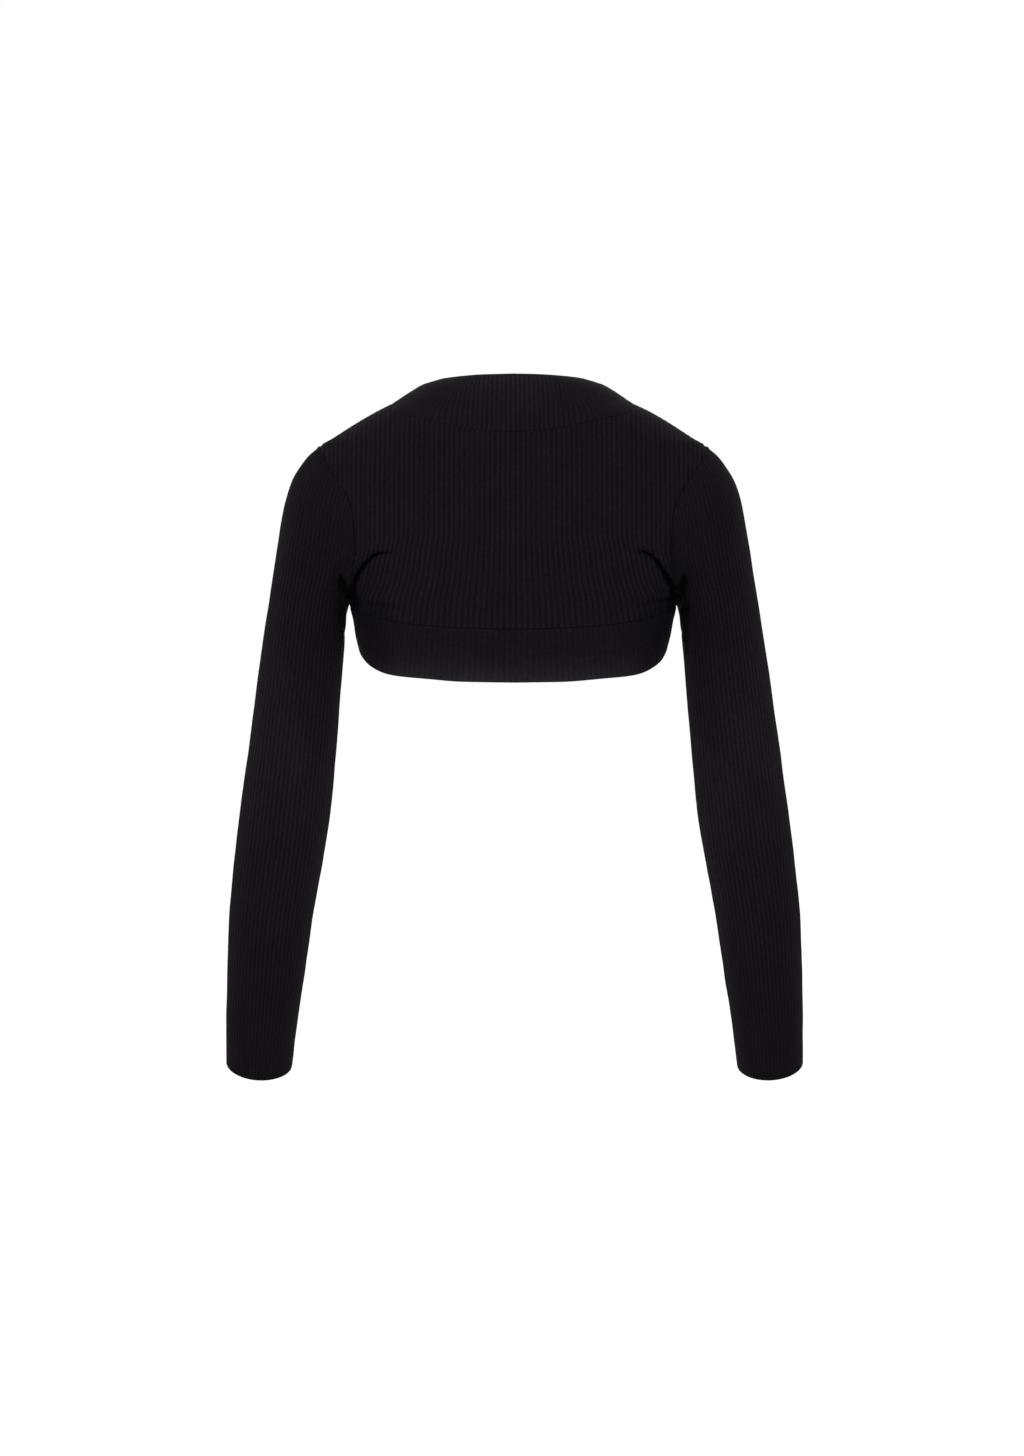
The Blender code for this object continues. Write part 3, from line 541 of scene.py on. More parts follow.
def settled(values):
    """A grid's values with its upper part evened out between its edges, and rows added next to both ends."""
    loose = eased(np.linspace(0, 1, len(values)), *SETTLED_ROWS)[1:-1, None]
    values = values.copy()
    middle = values[1:-1, 1:-1]
    for _ in range(SETTLING):
        around = values[:-2, 1:-1] + values[2:, 1:-1] + values[1:-1, :-2] + values[1:-1, 2:]
        middle += loose * (around / 4 - middle)
    at = fine_ends(np.arange(len(values), dtype=float))
    low = np.minimum(at.astype(int), len(values) - 2)
    share = (at - low)[:, None]
    return values[low] * (1 - share) + values[low + 1] * share


def slowing(share, steady):
    """0 to 1 for a share of 0 to 1: at one pace up to the share steady, and then ever slower."""
    pace = 2 / (1 + steady)
    return np.where(share < steady, pace * share, 1 - pace / (2 - 2 * steady) * (1 - share) ** 2)


def back_side(rows):
    """Angle and height of the back's side at each row: up the short side seam, then up the armhole."""
    arm_angle, arm_z = armhole_place(np.linspace(180, 0, CURVE_STEPS))
    below = np.linspace(SIDE_SEAM_END_Z, UNDERARM_Z, CURVE_STEPS // 20)[:-1]
    angle, z = np.concatenate([0 * below + 90, arm_angle]), np.concatenate([below, arm_z])
    run = run_along(on_form(angle, z))
    return [np.interp(rows, run / run[-1], values) for values in (angle, z)]


def back_top(count):
    """Angle, height and x of count + 1 places along the back's neck and shoulder seams, one at their corner."""
    neck_angle, neck_z = band_line(NECK_END * np.linspace(0, 1, CURVE_STEPS), "seam")
    ridge_z = np.linspace(NECK_POINT_Z, SHOULDER_TIP_Z, CURVE_STEPS)[1:]
    angle, z = np.concatenate([neck_angle, 0 * ridge_z + 90]), np.concatenate([neck_z, ridge_z])
    run = run_along(on_form(angle, z))
    neck_run = run[CURVE_STEPS - 1]
    corner = round(count * neck_run / run[-1])
    along = np.interp(np.arange(count + 1), (0, corner, count), (0, neck_run, run[-1]))
    return [np.interp(along, run, values) for values in (angle, z, on_form(angle, z)[:, 0])]


def back_cut(knit):
    """The back: rows from the hem seam up to the neck and shoulder seams, columns from left to right."""
    rows = np.linspace(0, 1, knit.back_rows + 1)[:, None]
    up = rows + ROWS_CLOSER * (rows * rows - rows)
    side_angle, side_z = back_side(up)
    side_x = on_form(side_angle, side_z)[..., 0]
    top_angle, top_z, top_x = back_top(knit.back_columns)
    place = np.linspace(0, 1, knit.back_columns + 1)
    by_angle = (place + COLUMNS_CLOSER * (place**3 - place)) * side_angle
    hem_angle, hem_z = band_line(np.linspace(HEM_END, FRONT_END, CURVE_STEPS), "seam")
    bottom_z = np.interp(by_angle[0], hem_angle, hem_z)
    level = (side_z - side_z[0]) / (side_z[-1] - side_z[0])
    z = bottom_z + (top_z - bottom_z) * (slowing(up, STEADY_ROWS) * (1 - place**2) + level * place**2)
    spread = eased(rows, *WIDTH_ROWS)
    x = side_x * (place * (1 - spread) + top_x / top_x[-1] * spread)
    by_width = np.degrees(np.arcsin(np.clip(x / smooth(form["height"], form["half_width"], z), -1, 1)))
    low = eased(side_z, *ANGLE_HEIGHTS)
    angle = by_angle * low + by_width * (1 - low)
    angle[:, -1:], angle[-1] = side_angle, top_angle
    angle, z = settled(angle), settled(z)
    right = on_form(angle, z)
    rib = back_ribs(right, angle)
    points = np.concatenate([right[:, :0:-1] * (-1, 1, 1), right], axis=1)
    made = Cut("back", points, np.concatenate([-rib[:, :0:-1], rib], axis=1), knit.cloth)
    made.roll = np.where(made.measured["end"][1] < NECK_ROLL_END, NECK_ROLL * SEAM_ROLL, SEAM_ROLL)
    return made


def front_cut(knit):
    """The right front: rows up the armhole, columns from the armhole to the band."""
    turns = np.linspace(180, 360, CURVE_STEPS)
    line = on_form(*armhole_place(turns))
    run = run_along(line)
    station = FRONT_END - (FRONT_END - NECK_END) * run / run[-1]
    share = fine_ends(np.linspace(0, run[-1], knit.front_rows + 1))
    edge_angle, edge_z = armhole_place(np.interp(share, run, turns))
    seam_angle, seam_z = band_line(np.interp(share, run, station), "seam")
    across = fine_ends(np.linspace(0, 1, knit.front_columns + 1))
    angle = edge_angle[:, None] * (1 - across) + seam_angle[:, None] * across
    z = edge_z[:, None] * (1 - across) + seam_z[:, None] * across
    round_front = np.linspace(180, 80, CURVE_STEPS)
    run = run_along(on_form(round_front, CHEST_Z))
    from_centre = np.interp(180 - angle, 180 - round_front, run)
    narrowing = smooth(form["height"], form["half_width"], z) / form["half_width"].max()
    return Cut("front_right", on_form(angle, z), from_centre * narrowing / FRONT_PITCH, knit.cloth)


@functools.cache
def outer_line():
    """The sleeve's outer line, from the cuff up, as heights and distances to the right."""
    line = on_sleeve(np.linspace(len(SLEEVE) - 1, 0, 8 * CURVE_STEPS), 0.0)
    return line[:, 2], line[:, 0]


def turns_of_ribs(number, rib_turn):
    """The turn in ring number at which the ribs of each rib_turn, 0 to 180, cross it."""
    turn = np.linspace(0, 180, CURVE_STEPS)
    found = []
    for half in (turn, 360 - turn):
        line = on_sleeve(number, half)
        outer = np.interp(line[:, 2], *outer_line())
        width = looked_up(SLEEVE_HALF, line[:, 2])
        kept = np.degrees(np.arccos(np.clip(1 - (outer - line[:, 0]) / width, -1, 1)))
        level = eased(number, *LEVEL_RINGS)
        kept = np.maximum.accumulate(kept) * (1 - level) + turn * level
        kept = (1 - EVEN_SHARE) * kept * 180 / kept[-1] + EVEN_SHARE * turn
        found.append(np.interp(rib_turn, kept, half))
    return found


def sleeve_cut(knit):
    """The right sleeve: rows from the armhole to the cuff, columns round it from the outer side by the back."""
    numbers = np.linspace(0, len(SLEEVE) - 1, CURVE_STEPS)
    run = run_along(ring(numbers, np.full(CURVE_STEPS, 90.0)))
    places = list(CAP_ROWS)
    while places[-1] < run[-1] - HEM_ROWS[0] - 1.3 * knit.sleeve_step:
        share = CAP_FINER + (1 - CAP_FINER) * eased(places[-1], *CAP_LENGTH)
        places.append(places[-1] + knit.sleeve_step * share)
    rows = np.interp(np.concatenate([places, run[-1] - np.array(HEM_ROWS)]), run, numbers)
    steps = knit.sleeve_ribs * knit.sleeve_steps
    turn = 360.0 * np.arange(steps // 2 + 1) / steps
    grid = []
    for number in rows:
        back, front = turns_of_ribs(number, turn)
        grid.append(on_sleeve(number, np.concatenate([back, front[-2:0:-1]])))
    rib = np.arange(steps) / knit.sleeve_steps
    made = Cut("sleeve_right", np.array(grid), rib, knit.cloth, True, True)
    away, cuff = made.measured["start"][1], made.measured["free"][1]
    seam = np.linalg.norm(made.points - made.points[:, [steps // 2]], axis=-1)
    made.raised = ridge(away, *CAP_RIDGE) + ridge(cuff, *CUFF_LINE) + ridge(seam, *UNDER_SEAM)
    made.firm = CAP_FIRM + (1 - CAP_FIRM) * eased(away, *CAP_FIRM_END)
    made.firm *= 1 - CUFF_FLAT * eased(cuff, *CUFF_FLAT_END)
    return made


def band_cut(knit):
    """The band: rows from its seam to its folded edge, columns round the whole opening."""
    station = np.linspace(0, HEM_END, CURVE_STEPS * 4)
    seam, edge = (np.array(band_line(station, which)) for which in ("seam", "edge"))
    run = run_along(on_form(*(seam + edge) / 2))
    pitch = looked_up(BAND_PITCH, station)
    count = np.concatenate([[0], np.cumsum(np.diff(run) * 2 / (pitch[1:] + pitch[:-1]))])
    ribs = round(count[-1])
    rib = np.arange(ribs * knit.band_steps + 1) / knit.band_steps
    count *= ribs / count[-1]
    middle = on_form(*(seam + edge) / 2)[: CURVE_STEPS // 2, 0]
    by_width = count[: CURVE_STEPS // 2]
    station = np.interp(rib, count, station)
    across = np.array(BAND_ROWS)[:, None]
    seam_angle, seam_z = band_line(station, "seam")
    edge_angle, edge_z = band_line(station, "edge")
    angle = seam_angle * (1 - across) + edge_angle * across
    right = on_form(angle, seam_z * (1 - across) + edge_z * across)
    left = right[:, -2:0:-1] * (-1, 1, 1)
    upright = UPRIGHT * (1 - eased(station, *UPRIGHT_END))
    rib = np.interp(right[..., 0], middle, by_width) * upright + rib * (1 - upright)
    rib = np.concatenate([rib, 2 * ribs - rib[:, -2:0:-1]], axis=1)
    made = Cut("band", np.concatenate([right, left], axis=1), rib, knit.doubled, True, True)
    keys, firm, deep = np.array(BAND_FIRM).T
    station = np.concatenate([station, station[-2:0:-1]])
    made.firm = np.broadcast_to(smooth(keys, firm, station), made.rib.shape)
    made.roll = np.broadcast_to(smooth(keys, deep, station) * SEAM_ROLL, made.rib.shape)
    # A painted highlight along the band's folded edge.
    made.light = looked_up(EDGE_LIGHT, station) * across**4
    return made


def mirrored(cut):
    """The left piece for a right one."""
    name, points = cut.name.replace("right", "left"), cut.points * (-1, 1, 1)
    made = Cut(name, points, -cut.rib, cut.thickness, cut.closed, cut.free_end)
    made.raised, made.firm, made.roll = cut.raised, cut.firm, cut.roll
    return made


# ---- Creases ----
# Each surface that creases lie on: its points, the unit of a place's second number, a small step in each
# number, and how much each axis counts in what is outwards there.
SURFACES = {
    "form": (on_form, MM, (0.5, 0.0005), (0.5, 1.3, 1.0)),
    "sleeve": (on_sleeve, 1.0, (-0.02, 0.5), (1.0, 1.0, 1.0)),
}


def crease_lines():
    """Every crease: surface, points, steps between them, outwards and upwards there, depths, and its sizes."""
    found = []
    for side, surface, places, *widths, sharp in CREASES:
        keys, at = np.linspace(0, 1, len(places)), np.linspace(0, 1, 12 * len(places))
        first, second, depths = (smooth(keys, np.array(values), at) for values in zip(*places))
        on_surface, length, (step, other_step), weights = SURFACES[surface]
        second = second * length
        points = on_surface(first, second)
        ways = on_surface(first + step, second) - points, on_surface(first, second + other_step) - points
        out = unit(unit(np.cross(*ways)) * weights)[:-1]
        way = np.diff(points, axis=0)
        up = unit(np.cross(out, way))
        up *= np.sign(up[:, 2].sum())
        lines = [vectors * (side, 1, 1) for vectors in (points, way, out, up)]
        found.append((surface, *lines, depths * MM, (*np.array(widths) * MM, sharp)))
    return found


def beside(points, line, reach):
    """Which points are in the box round a line that leaves it this reach on each side."""
    return ((points > line.min(0) - reach) & (points < line.max(0) + reach)).all(1)


def from_armhole(points):
    """Distance of each point from its nearest armhole, or CREASE_REACH where that is farther."""
    line = on_form(*armhole_place(np.linspace(0, 360, ARMHOLE_POINTS)))
    points = points.copy()
    points[:, 0] = abs(points[:, 0])
    away = np.full(len(points), CREASE_REACH)
    near = np.flatnonzero(beside(points, line, CREASE_REACH))
    for rows in np.array_split(near, len(near) // AT_ONCE + 1):
        away[rows] = np.minimum(CREASE_REACH, np.linalg.norm(points[rows, None] - line, axis=-1).min(1))
    return away


def trough(away, sharp):
    """A crease's depth as a share, away in widths of its slope: a soft bell, or a narrow V where sharp is 1."""
    bell = np.exp(-away * away)
    narrow = np.exp(-1.7 * (np.sqrt(away * away + 0.03) - 0.17))
    return (1 - sharp) * bell + sharp * narrow


def creased(cut, creases):
    """How far the creases move each point of a piece, and how deep in a crease it then lies."""
    flat = cut.points.reshape(-1, 3)
    surface = "sleeve" if cut.name.startswith("sleeve") else "form"
    spill = eased(1 - from_armhole(flat) / CREASE_REACH)
    weight, pull, move = np.full(len(flat), 1e-12), np.zeros_like(flat), np.zeros_like(flat)
    deepest = np.zeros(len(flat))
    for on, line, way, out, up, depths, (below, above, swell_below, swell_above, sharp) in creases:
        near = np.flatnonzero(beside(flat, line, 4 * max(below, above)))
        if not len(near):
            continue
        offset = flat[near, None] - line[:-1]
        t = np.clip((offset * way).sum(-1) / (way * way).sum(-1), 0, 1)
        offset = offset - t[..., None] * way
        away = np.linalg.norm(offset, axis=-1)
        which, rows = away.argmin(axis=1), np.arange(len(near))
        t, offset, away = t[rows, which], offset[rows, which], away[rows, which]
        strength = 1.0 if on == surface else spill[near]
        here = (depths[which] * (1 - t) + depths[which + 1] * t) * strength
        over = eased(0.5 + 1.5 * (offset * up[which]).sum(-1) / (away + 0.0004))
        share = here / depths.max()
        away = away / (below + (above - below) * over)
        deep = here * trough(away, sharp)
        weight[near] += deep**3
        pull[near] -= (deep**4)[:, None] * out[which]
        swell = share * (swell_below + (swell_above - swell_below) * over)
        move[near] += ridge(away, SWELL_PLACE, SWELL_WIDTH, swell)[:, None] * out[which]
        move[near] -= offset * ridge(away, 0.0, 1.0, PINCH * sharp * share)[:, None]
        deepest[near] = np.maximum(deepest[near], deep)
    move = move + pull / weight[:, None]
    return move.reshape(cut.points.shape), deepest.reshape(cut.points.shape[:2])


def shaded(cut, facing, deep):
    """How much painted shade each point's colour gets: 1 deep in a fold, in the armpit or on cloth facing
    across the gap below it. Down the sleeves it is painted light, on the body's side by the arm painted shade,
    and below 0 a painted highlight along the band's folded edge.
    """
    x, y, z = np.moveaxis(cut.points, -1, 0)
    arm = cut.name.startswith("sleeve")
    side, height = abs(x) - PIT_X, z - PIT_Z
    away = np.hypot(side / PIT_SIDE, height / np.where(height > 0, PIT_UP, PIT_DOWN))
    pit = eased(np.hypot(away, np.maximum(abs(y) - PIT_LENGTH, 0) / PIT_END), *PIT_EDGE)
    across = facing[..., 0] * np.sign(x) * (-1 if arm else 1)
    least = GAP_FACING["arm" if arm else "body"] + 2 * np.maximum(GAP_LOW - z, 0)
    gap = eased((across - least) / GAP_EDGE) * eased(z, *GAP_Z)
    near = eased(1 - np.hypot(side, height) / NEAR_PIT) * eased(height, -0.003, 0.003)
    fold = eased(deep * (1 + FOLD_DARKER * near), *FOLD_DEPTH)
    # Painted light, held in dye: down a sleeve the colour is painted lighter part way down and darker near the
    # armhole and towards the cuff; on the body's side it is painted shade beside the arm.
    if arm:
        dye = looked_up(SLEEVE_SHADE, cut.down())
    else:
        dye = BODY_DARK * eased(across, *BODY_FACING) * eased(z, *BODY_Z)
    return 1 - (1 - pit) * (1 - gap) * (1 - fold) * (1 - dye) * (1 + cut.light)


# ---- Seams ----
def evened(vectors, line):
    """Vectors along a line, each averaged with its neighbours."""
    reach = max(1, round(SEAM_EASE / (run_along(line)[-1] / len(line))))
    kernel = np.hanning(2 * reach + 3)[1:-1]
    ends = "wrap" if np.linalg.norm(line[0] - line[-1]) < CLOSED_WITHIN else "edge"
    padded = np.pad(vectors, ((reach, reach), (0, 0)), mode=ends)
    return np.stack([np.convolve(values, kernel / kernel.sum(), "valid") for values in padded.T], axis=-1)


def sewn_edges(cut, facing):
    """A piece's sewn edges: a tree of their points, and the facing at each."""
    edges = [index for index, _ in cut.edges().values()]
    points, turned = (
        np.concatenate([grid[index].reshape(-1, 3) for index in edges]) for grid in (cut.points, facing)
    )
    tree = KDTree(len(points))
    for number, point in enumerate(points):
        tree.insert(point, number)
    tree.balance()
    return tree, turned


def shared_facing(cuts):
    """Each piece's normals, turned near a seam to the facing that the pieces there share."""
    own = {cut.name: cut.facing() for cut in cuts}
    sewn = {cut.name: sewn_edges(cut, own[cut.name]) for cut in cuts}
    found = {}
    for cut in cuts:
        others = [edges for name, edges in sewn.items() if name != cut.name]
        total, turned, most = 1e-9, 0.0, 0.0
        for index, away in cut.edges().values():
            edge, facing = cut.points[index], own[cut.name][index]
            summed = facing.copy().reshape(-1, 3)
            for tree, there in others:
                for number, point in enumerate(edge.reshape(-1, 3)):
                    _, other, distance = tree.find(point)
                    if distance < 3 * SEAM_GAP:
                        summed[number] += there[other]
            turn = unit(evened(summed, edge.reshape(-1, 3))).reshape(facing.shape) - facing
            near = eased(1 - away / SEAM_BLEND)
            weight = near / (away + 1e-5) ** 2
            total, turned, most = total + weight, turned + weight[..., None] * turn, np.maximum(most, near)
        found[cut.name] = unit(own[cut.name] + turned * (most / total)[..., None])
    return found


def part_seams(cut):
    """Moves a piece's sewn edges in by half the gap, so that neighbours stay apart."""
    for name, (index, away) in cut.edges().items():
        next_in = {"start": np.s_[1:2], "end": np.s_[-2:-1], "left": np.s_[:, 1:2], "right": np.s_[:, -2:-1]}
        way = unit(cut.points[next_in[name]] - cut.points[index])
        cut.points = cut.points + way * (eased(1 - away / SEAM_TUCK) * SEAM_GAP / 2)[..., None]


@functools.cache
def garment():
    """Every cut piece, creased, with its facing."""
    knit = bpy.context.scene.shrug
    front, arm = front_cut(knit), sleeve_cut(knit)
    cuts = [back_cut(knit), front, mirrored(front), arm, mirrored(arm), band_cut(knit)]
    creases = crease_lines()
    facing = shared_facing(cuts)
    for cut in cuts:
        move, deep = creased(cut, creases)
        cut.shade = shaded(cut, facing[cut.name], deep)
        cut.moved = np.linalg.norm(move, axis=-1)
        cut.points = cut.points + move
        if cut.name.startswith("sleeve"):
            cut.points[..., 0] += CUFF_SWAY * eased(cut.down()) ** 0.7
    folded = shared_facing(cuts)
    for cut in cuts:
        cut.out = unit(folded[cut.name] + 0.5 * facing[cut.name])
        part_seams(cut)
    return {cut.name: cut for cut in cuts}


def inner_rows(cut):
    """The rows that the inner face keeps: all where it is creased or near an edge, and few elsewhere."""
    rows = len(cut.points)
    busy = cut.moved.max(axis=1) > CREASED
    busy[: INNER_EDGES[0]] = busy[-INNER_EDGES[1] :] = True
    kept = [0]
    for row in range(1, rows):
        if busy[row] or busy[row - 1] or row - kept[-1] == INNER_STEP:
            kept.append(row)
    return np.array(kept)


def corners(grid):
    """The four corners of every face of a grid."""
    return np.stack([grid[:-1, :-1], grid[:-1, 1:], grid[1:, 1:], grid[1:, :-1]], axis=2)


def shell(cut):
    """A piece as a closed shell: places, faces, and what its ribs need at each place."""
    sewn = cut.nearest_sewn()
    rolled = np.clip(1 - sewn / cut.roll, 0, 1)
    outer_in = cut.roll * (1 - np.sqrt(1 - rolled**2)) - cut.raised
    inner_out = 0 * outer_in
    lift = eased(sewn / RIB_FADE) * cut.firm
    if cut.free_end:
        radius = cut.thickness / 2
        turned = np.clip(1 - cut.measured["free"][1] / radius, 0, 1)
        round_in = radius * (1 - np.sqrt(1 - (0.97 * turned) ** 2))
        outer_in, inner_out = outer_in + round_in, inner_out + round_in
        lift = lift * (EDGE_LIFT + (1 - EDGE_LIFT) * eased(cut.measured["free"][1] / EDGE_FADE))
    kept = inner_rows(cut)
    outer = cut.points - cut.out * outer_in[..., None]
    inner = (cut.points - cut.out * (cut.thickness - inner_out)[..., None])[kept]
    rows, count = outer.shape[:2]
    index = np.arange(rows * count).reshape(rows, count)
    under = rows * count + np.arange(len(kept) * count).reshape(len(kept), count)
    uv = np.stack([cut.rib, cut.course / bpy.context.scene.shrug.course], axis=-1)
    if cut.closed:
        index, under = (np.concatenate([grid, grid[:, :1]], axis=1) for grid in (index, under))
        last = uv[:, :1].copy()
        last[..., 0] = 2 * uv[:, -1:, 0] - uv[:, -2:-1, 0]
        uv = np.concatenate([uv, last], axis=1)
    below = uv[kept] + (0.5, 0)
    faces = [*corners(index).reshape(-1, 4), *corners(under).reshape(-1, 4)[:, ::-1]]
    places = [*corners(uv).reshape(-1, 4, 2), *corners(below).reshape(-1, 4, 2)[:, ::-1]]
    for row, low, way in ((0, 0, 1), (-1, -1, -1)):
        top, foot, at = index[row, ::way], under[low, ::way], uv[row, ::way]
        faces += [*np.stack([top[1:], top[:-1], foot[:-1], foot[1:]], axis=-1)]
        places += [*np.stack([at[1:], at[:-1], at[:-1], at[1:]], axis=1)]
    for column, way in () if cut.closed else ((0, 1), (-1, -1)):
        for low, (first, last) in enumerate(zip(kept[:-1], kept[1:])):
            run = [*index[first : last + 1, column], under[low + 1, column], under[low, column]]
            at = [*uv[first : last + 1, column], uv[last, column], uv[first, column]]
            faces.append(np.array(run)[::way])
            places.append(np.array(at)[::way])
    if cut.sign < 0:
        faces, places = [face[::-1] for face in faces], [place[::-1] for place in places]
    values = {
        "rib": np.concatenate([cut.rib.ravel(), cut.rib[kept].ravel() + 0.5]),
        "lift": np.concatenate([lift.ravel(), INNER_LIFT * lift[kept].ravel()]),
        "side": np.concatenate([np.ones(outer[..., 0].size), -np.ones(inner[..., 0].size)]),
        "outward": np.concatenate([cut.out.reshape(-1, 3), -cut.out[kept].reshape(-1, 3)]),
        "firm": np.concatenate([cut.firm.ravel(), cut.firm[kept].ravel()]),
        # fold carries each point's painted shade and painted highlight to the material; the inner face gets
        # none.
        "fold": np.concatenate([cut.shade.ravel(), 0 * cut.shade[kept].ravel()]),
    }
    return np.concatenate([outer.reshape(-1, 3), inner.reshape(-1, 3)]), faces, places, values


def new_mesh(name, points, faces, places=None, values=None):
    """A smooth-shaded mesh, with a UV map named knit and point attributes."""
    mesh = bpy.data.meshes.new(name)
    sizes = np.array([len(face) for face in faces], dtype=np.int32)
    mesh.vertices.add(len(points))
    mesh.vertices.foreach_set("co", points.astype(np.float32).ravel())
    mesh.loops.add(int(sizes.sum()))
    mesh.loops.foreach_set("vertex_index", np.concatenate(faces).astype(np.int32))
    mesh.polygons.add(len(faces))
    mesh.polygons.foreach_set("loop_start", np.concatenate([[0], np.cumsum(sizes)[:-1]]).astype(np.int32))
    mesh.update(calc_edges=True)
    mesh.shade_smooth()
    if places is not None:
        layer = mesh.uv_layers.new(name="knit")
        layer.uv.foreach_set("vector", np.concatenate(places).astype(np.float32).ravel())
    for key, value in (values or {}).items():
        kind, field = ("FLOAT_VECTOR", "vector") if value.ndim == 2 else ("FLOAT", "value")
        mesh.attributes.new(key, kind, "POINT").data.foreach_set(field, value.astype(np.float32).ravel())
    if mesh.validate():
        raise RuntimeError(f"{name} has faces that aren't sound")
    return mesh


# ---- Node trees ----
RIB_SUNK = 0.6  # the share of a rib's height that lies below the cloth's own face
WORN, WANDER = (60.0, 2.0), (24.0, 1.5)  # scale and detail of the ribs' wear and of the cloth's unevenness


def add_node(tree, kind, inputs=(), **settings):
    """A node with its settings made and its inputs linked or set."""
    made = tree.nodes.new(kind)
    for name, value in settings.items():
        setattr(made, name, value)
    for name, value in dict(inputs).items():
        if isinstance(value, bpy.types.NodeSocket):
            tree.links.new(value, made.inputs[name])
        else:
            made.inputs[name].default_value = value
    return made


def calc(tree, operation, *values):
    """A Math node's result."""
    return add_node(tree, "ShaderNodeMath", enumerate(values), operation=operation).outputs[0]


def product(tree, *values):
    """Numbers multiplied together."""
    return functools.reduce(lambda first, second: calc(tree, "MULTIPLY", first, second), values)


def noise(tree, place, scale, detail):
    """A Noise Texture's value."""
    return add_node(tree, "ShaderNodeTexNoise", {"Vector": place, "Scale": scale, "Detail": detail}).outputs[0]


def new_tree(name, inputs):
    """A Geometry Nodes tree with its named inputs. Returns it with its input and output nodes."""
    tree = bpy.data.node_groups.new(name, "GeometryNodeTree")
    tree.interface.new_socket("Geometry", in_out="INPUT", socket_type="NodeSocketGeometry")
    for title, kind in inputs.items():
        tree.interface.new_socket(title, in_out="INPUT", socket_type="NodeSocket" + kind)
    tree.interface.new_socket("Geometry", in_out="OUTPUT", socket_type="NodeSocketGeometry")
    return tree, tree.nodes.new("NodeGroupInput").outputs, tree.nodes.new("NodeGroupOutput")


def attribute(tree, name, kind="FLOAT"):
    """A named attribute's values."""
    return add_node(tree, "GeometryNodeInputNamedAttribute", {"Name": name}, data_type=kind).outputs[0]


def finished(tree, geometry, material, result):
    """Ends a tree: its geometry made real, smooth and in its material."""
    real = add_node(tree, "GeometryNodeRealizeInstances", {"Geometry": geometry})
    soft = add_node(tree, "GeometryNodeSetShadeSmooth", {"Geometry": real.outputs[0]})
    last = add_node(tree, "GeometryNodeSetMaterial", {"Geometry": soft.outputs[0], "Material": material})
    tree.links.new(last.outputs[0], result.inputs[0])


@functools.cache
def rib_tree():
    """Raises the ribs along the cloth's facing and lets it lie a little unevenly."""
    inputs = {"Rib depth": "Float", "Rib roundness": "Float", "Unevenness": "Float", "Material": "Material"}
    tree, given, result = new_tree("raised_ribs", inputs)
    place = add_node(tree, "GeometryNodeInputPosition").outputs[0]
    wave = calc(tree, "COSINE", product(tree, attribute(tree, "rib"), math.tau))
    swell = calc(tree, "POWER", calc(tree, "MULTIPLY_ADD", wave, 0.5, 0.5), given["Rib roundness"])
    raised = calc(tree, "SUBTRACT", swell, RIB_SUNK)
    raised = product(tree, raised, given["Rib depth"], attribute(tree, "lift"))
    raised = product(tree, raised, calc(tree, "MULTIPLY_ADD", noise(tree, place, *WORN), 1.2, 0.4))
    wander = calc(tree, "SUBTRACT", noise(tree, place, *WANDER), 0.5)
    wander = product(tree, wander, given["Unevenness"], attribute(tree, "side"))
    way = {0: attribute(tree, "outward", "FLOAT_VECTOR"), "Scale": calc(tree, "ADD", raised, wander)}
    offset = add_node(tree, "ShaderNodeVectorMath", way, operation="SCALE").outputs[0]
    moved = add_node(tree, "GeometryNodeSetPosition", {"Geometry": given["Geometry"], "Offset": offset})
    finished(tree, moved.outputs[0], given["Material"], result)
    return tree


@functools.cache
def overlock_tree():
    """Loops a thread round a seam's bound allowance at each of its marked points."""
    inputs = {"Thread radius": "Float", "Loop radius": "Float", "Material": "Material"}
    tree, given, result = new_tree("overlock_stitches", inputs)
    marked = {"Selection": attribute(tree, "stitch")}
    tube = tree.nodes.new("GeometryNodeCurveToMesh")
    for socket, sides, radius in (("Curve", 8, "Loop radius"), ("Profile Curve", 3, "Thread radius")):
        sizes = {"Resolution": sides, "Radius": given[radius]}
        circle = add_node(tree, "GeometryNodeCurvePrimitiveCircle", sizes)
        tree.links.new(circle.outputs[0], tube.inputs[socket])
    axes = {number: attribute(tree, name, "FLOAT_VECTOR") for number, name in enumerate(("way", "outward"))}
    turn = add_node(tree, "FunctionNodeAxesToRotation", axes, primary_axis="Z", secondary_axis="X")
    placed = {"Points": given["Geometry"], "Instance": tube.outputs[0], "Rotation": turn.outputs[0]}
    stitches = add_node(tree, "GeometryNodeInstanceOnPoints", marked | placed)
    whole = {"Geometry": given["Geometry"]}
    cord = add_node(tree, "GeometryNodeDeleteGeometry", marked | whole, domain="POINT")
    joined = tree.nodes.new("GeometryNodeJoinGeometry")
    for part in (stitches, cord):
        tree.links.new(part.outputs[0], joined.inputs[0])
    finished(tree, joined.outputs[0], given["Material"], result)
    return tree


def grown(name, mesh, tree, values):
    """A plain object from a mesh and a Geometry Nodes tree."""
    thing = bpy.data.objects.new(name, mesh)
    bpy.context.scene.collection.objects.link(thing)
    modifier = thing.modifiers.new("made", "NODES")
    modifier.node_group = tree
    sockets = {item.name: item.identifier for item in tree.interface.items_tree if item.in_out == "INPUT"}
    for title, value in values.items():
        modifier[sockets[title]] = value
    graph = bpy.context.evaluated_depsgraph_get()
    plain = bpy.data.meshes.new_from_object(
        thing.evaluated_get(graph), preserve_all_data_layers=True, depsgraph=graph
    )
    thing.modifiers.clear()
    thing.data = plain
    plain.name = name
    bpy.data.meshes.remove(mesh)
    for spare in ("outward", "lift", "side", "way", "stitch"):
        if spare in plain.attributes:
            plain.attributes.remove(plain.attributes[spare])
    return thing


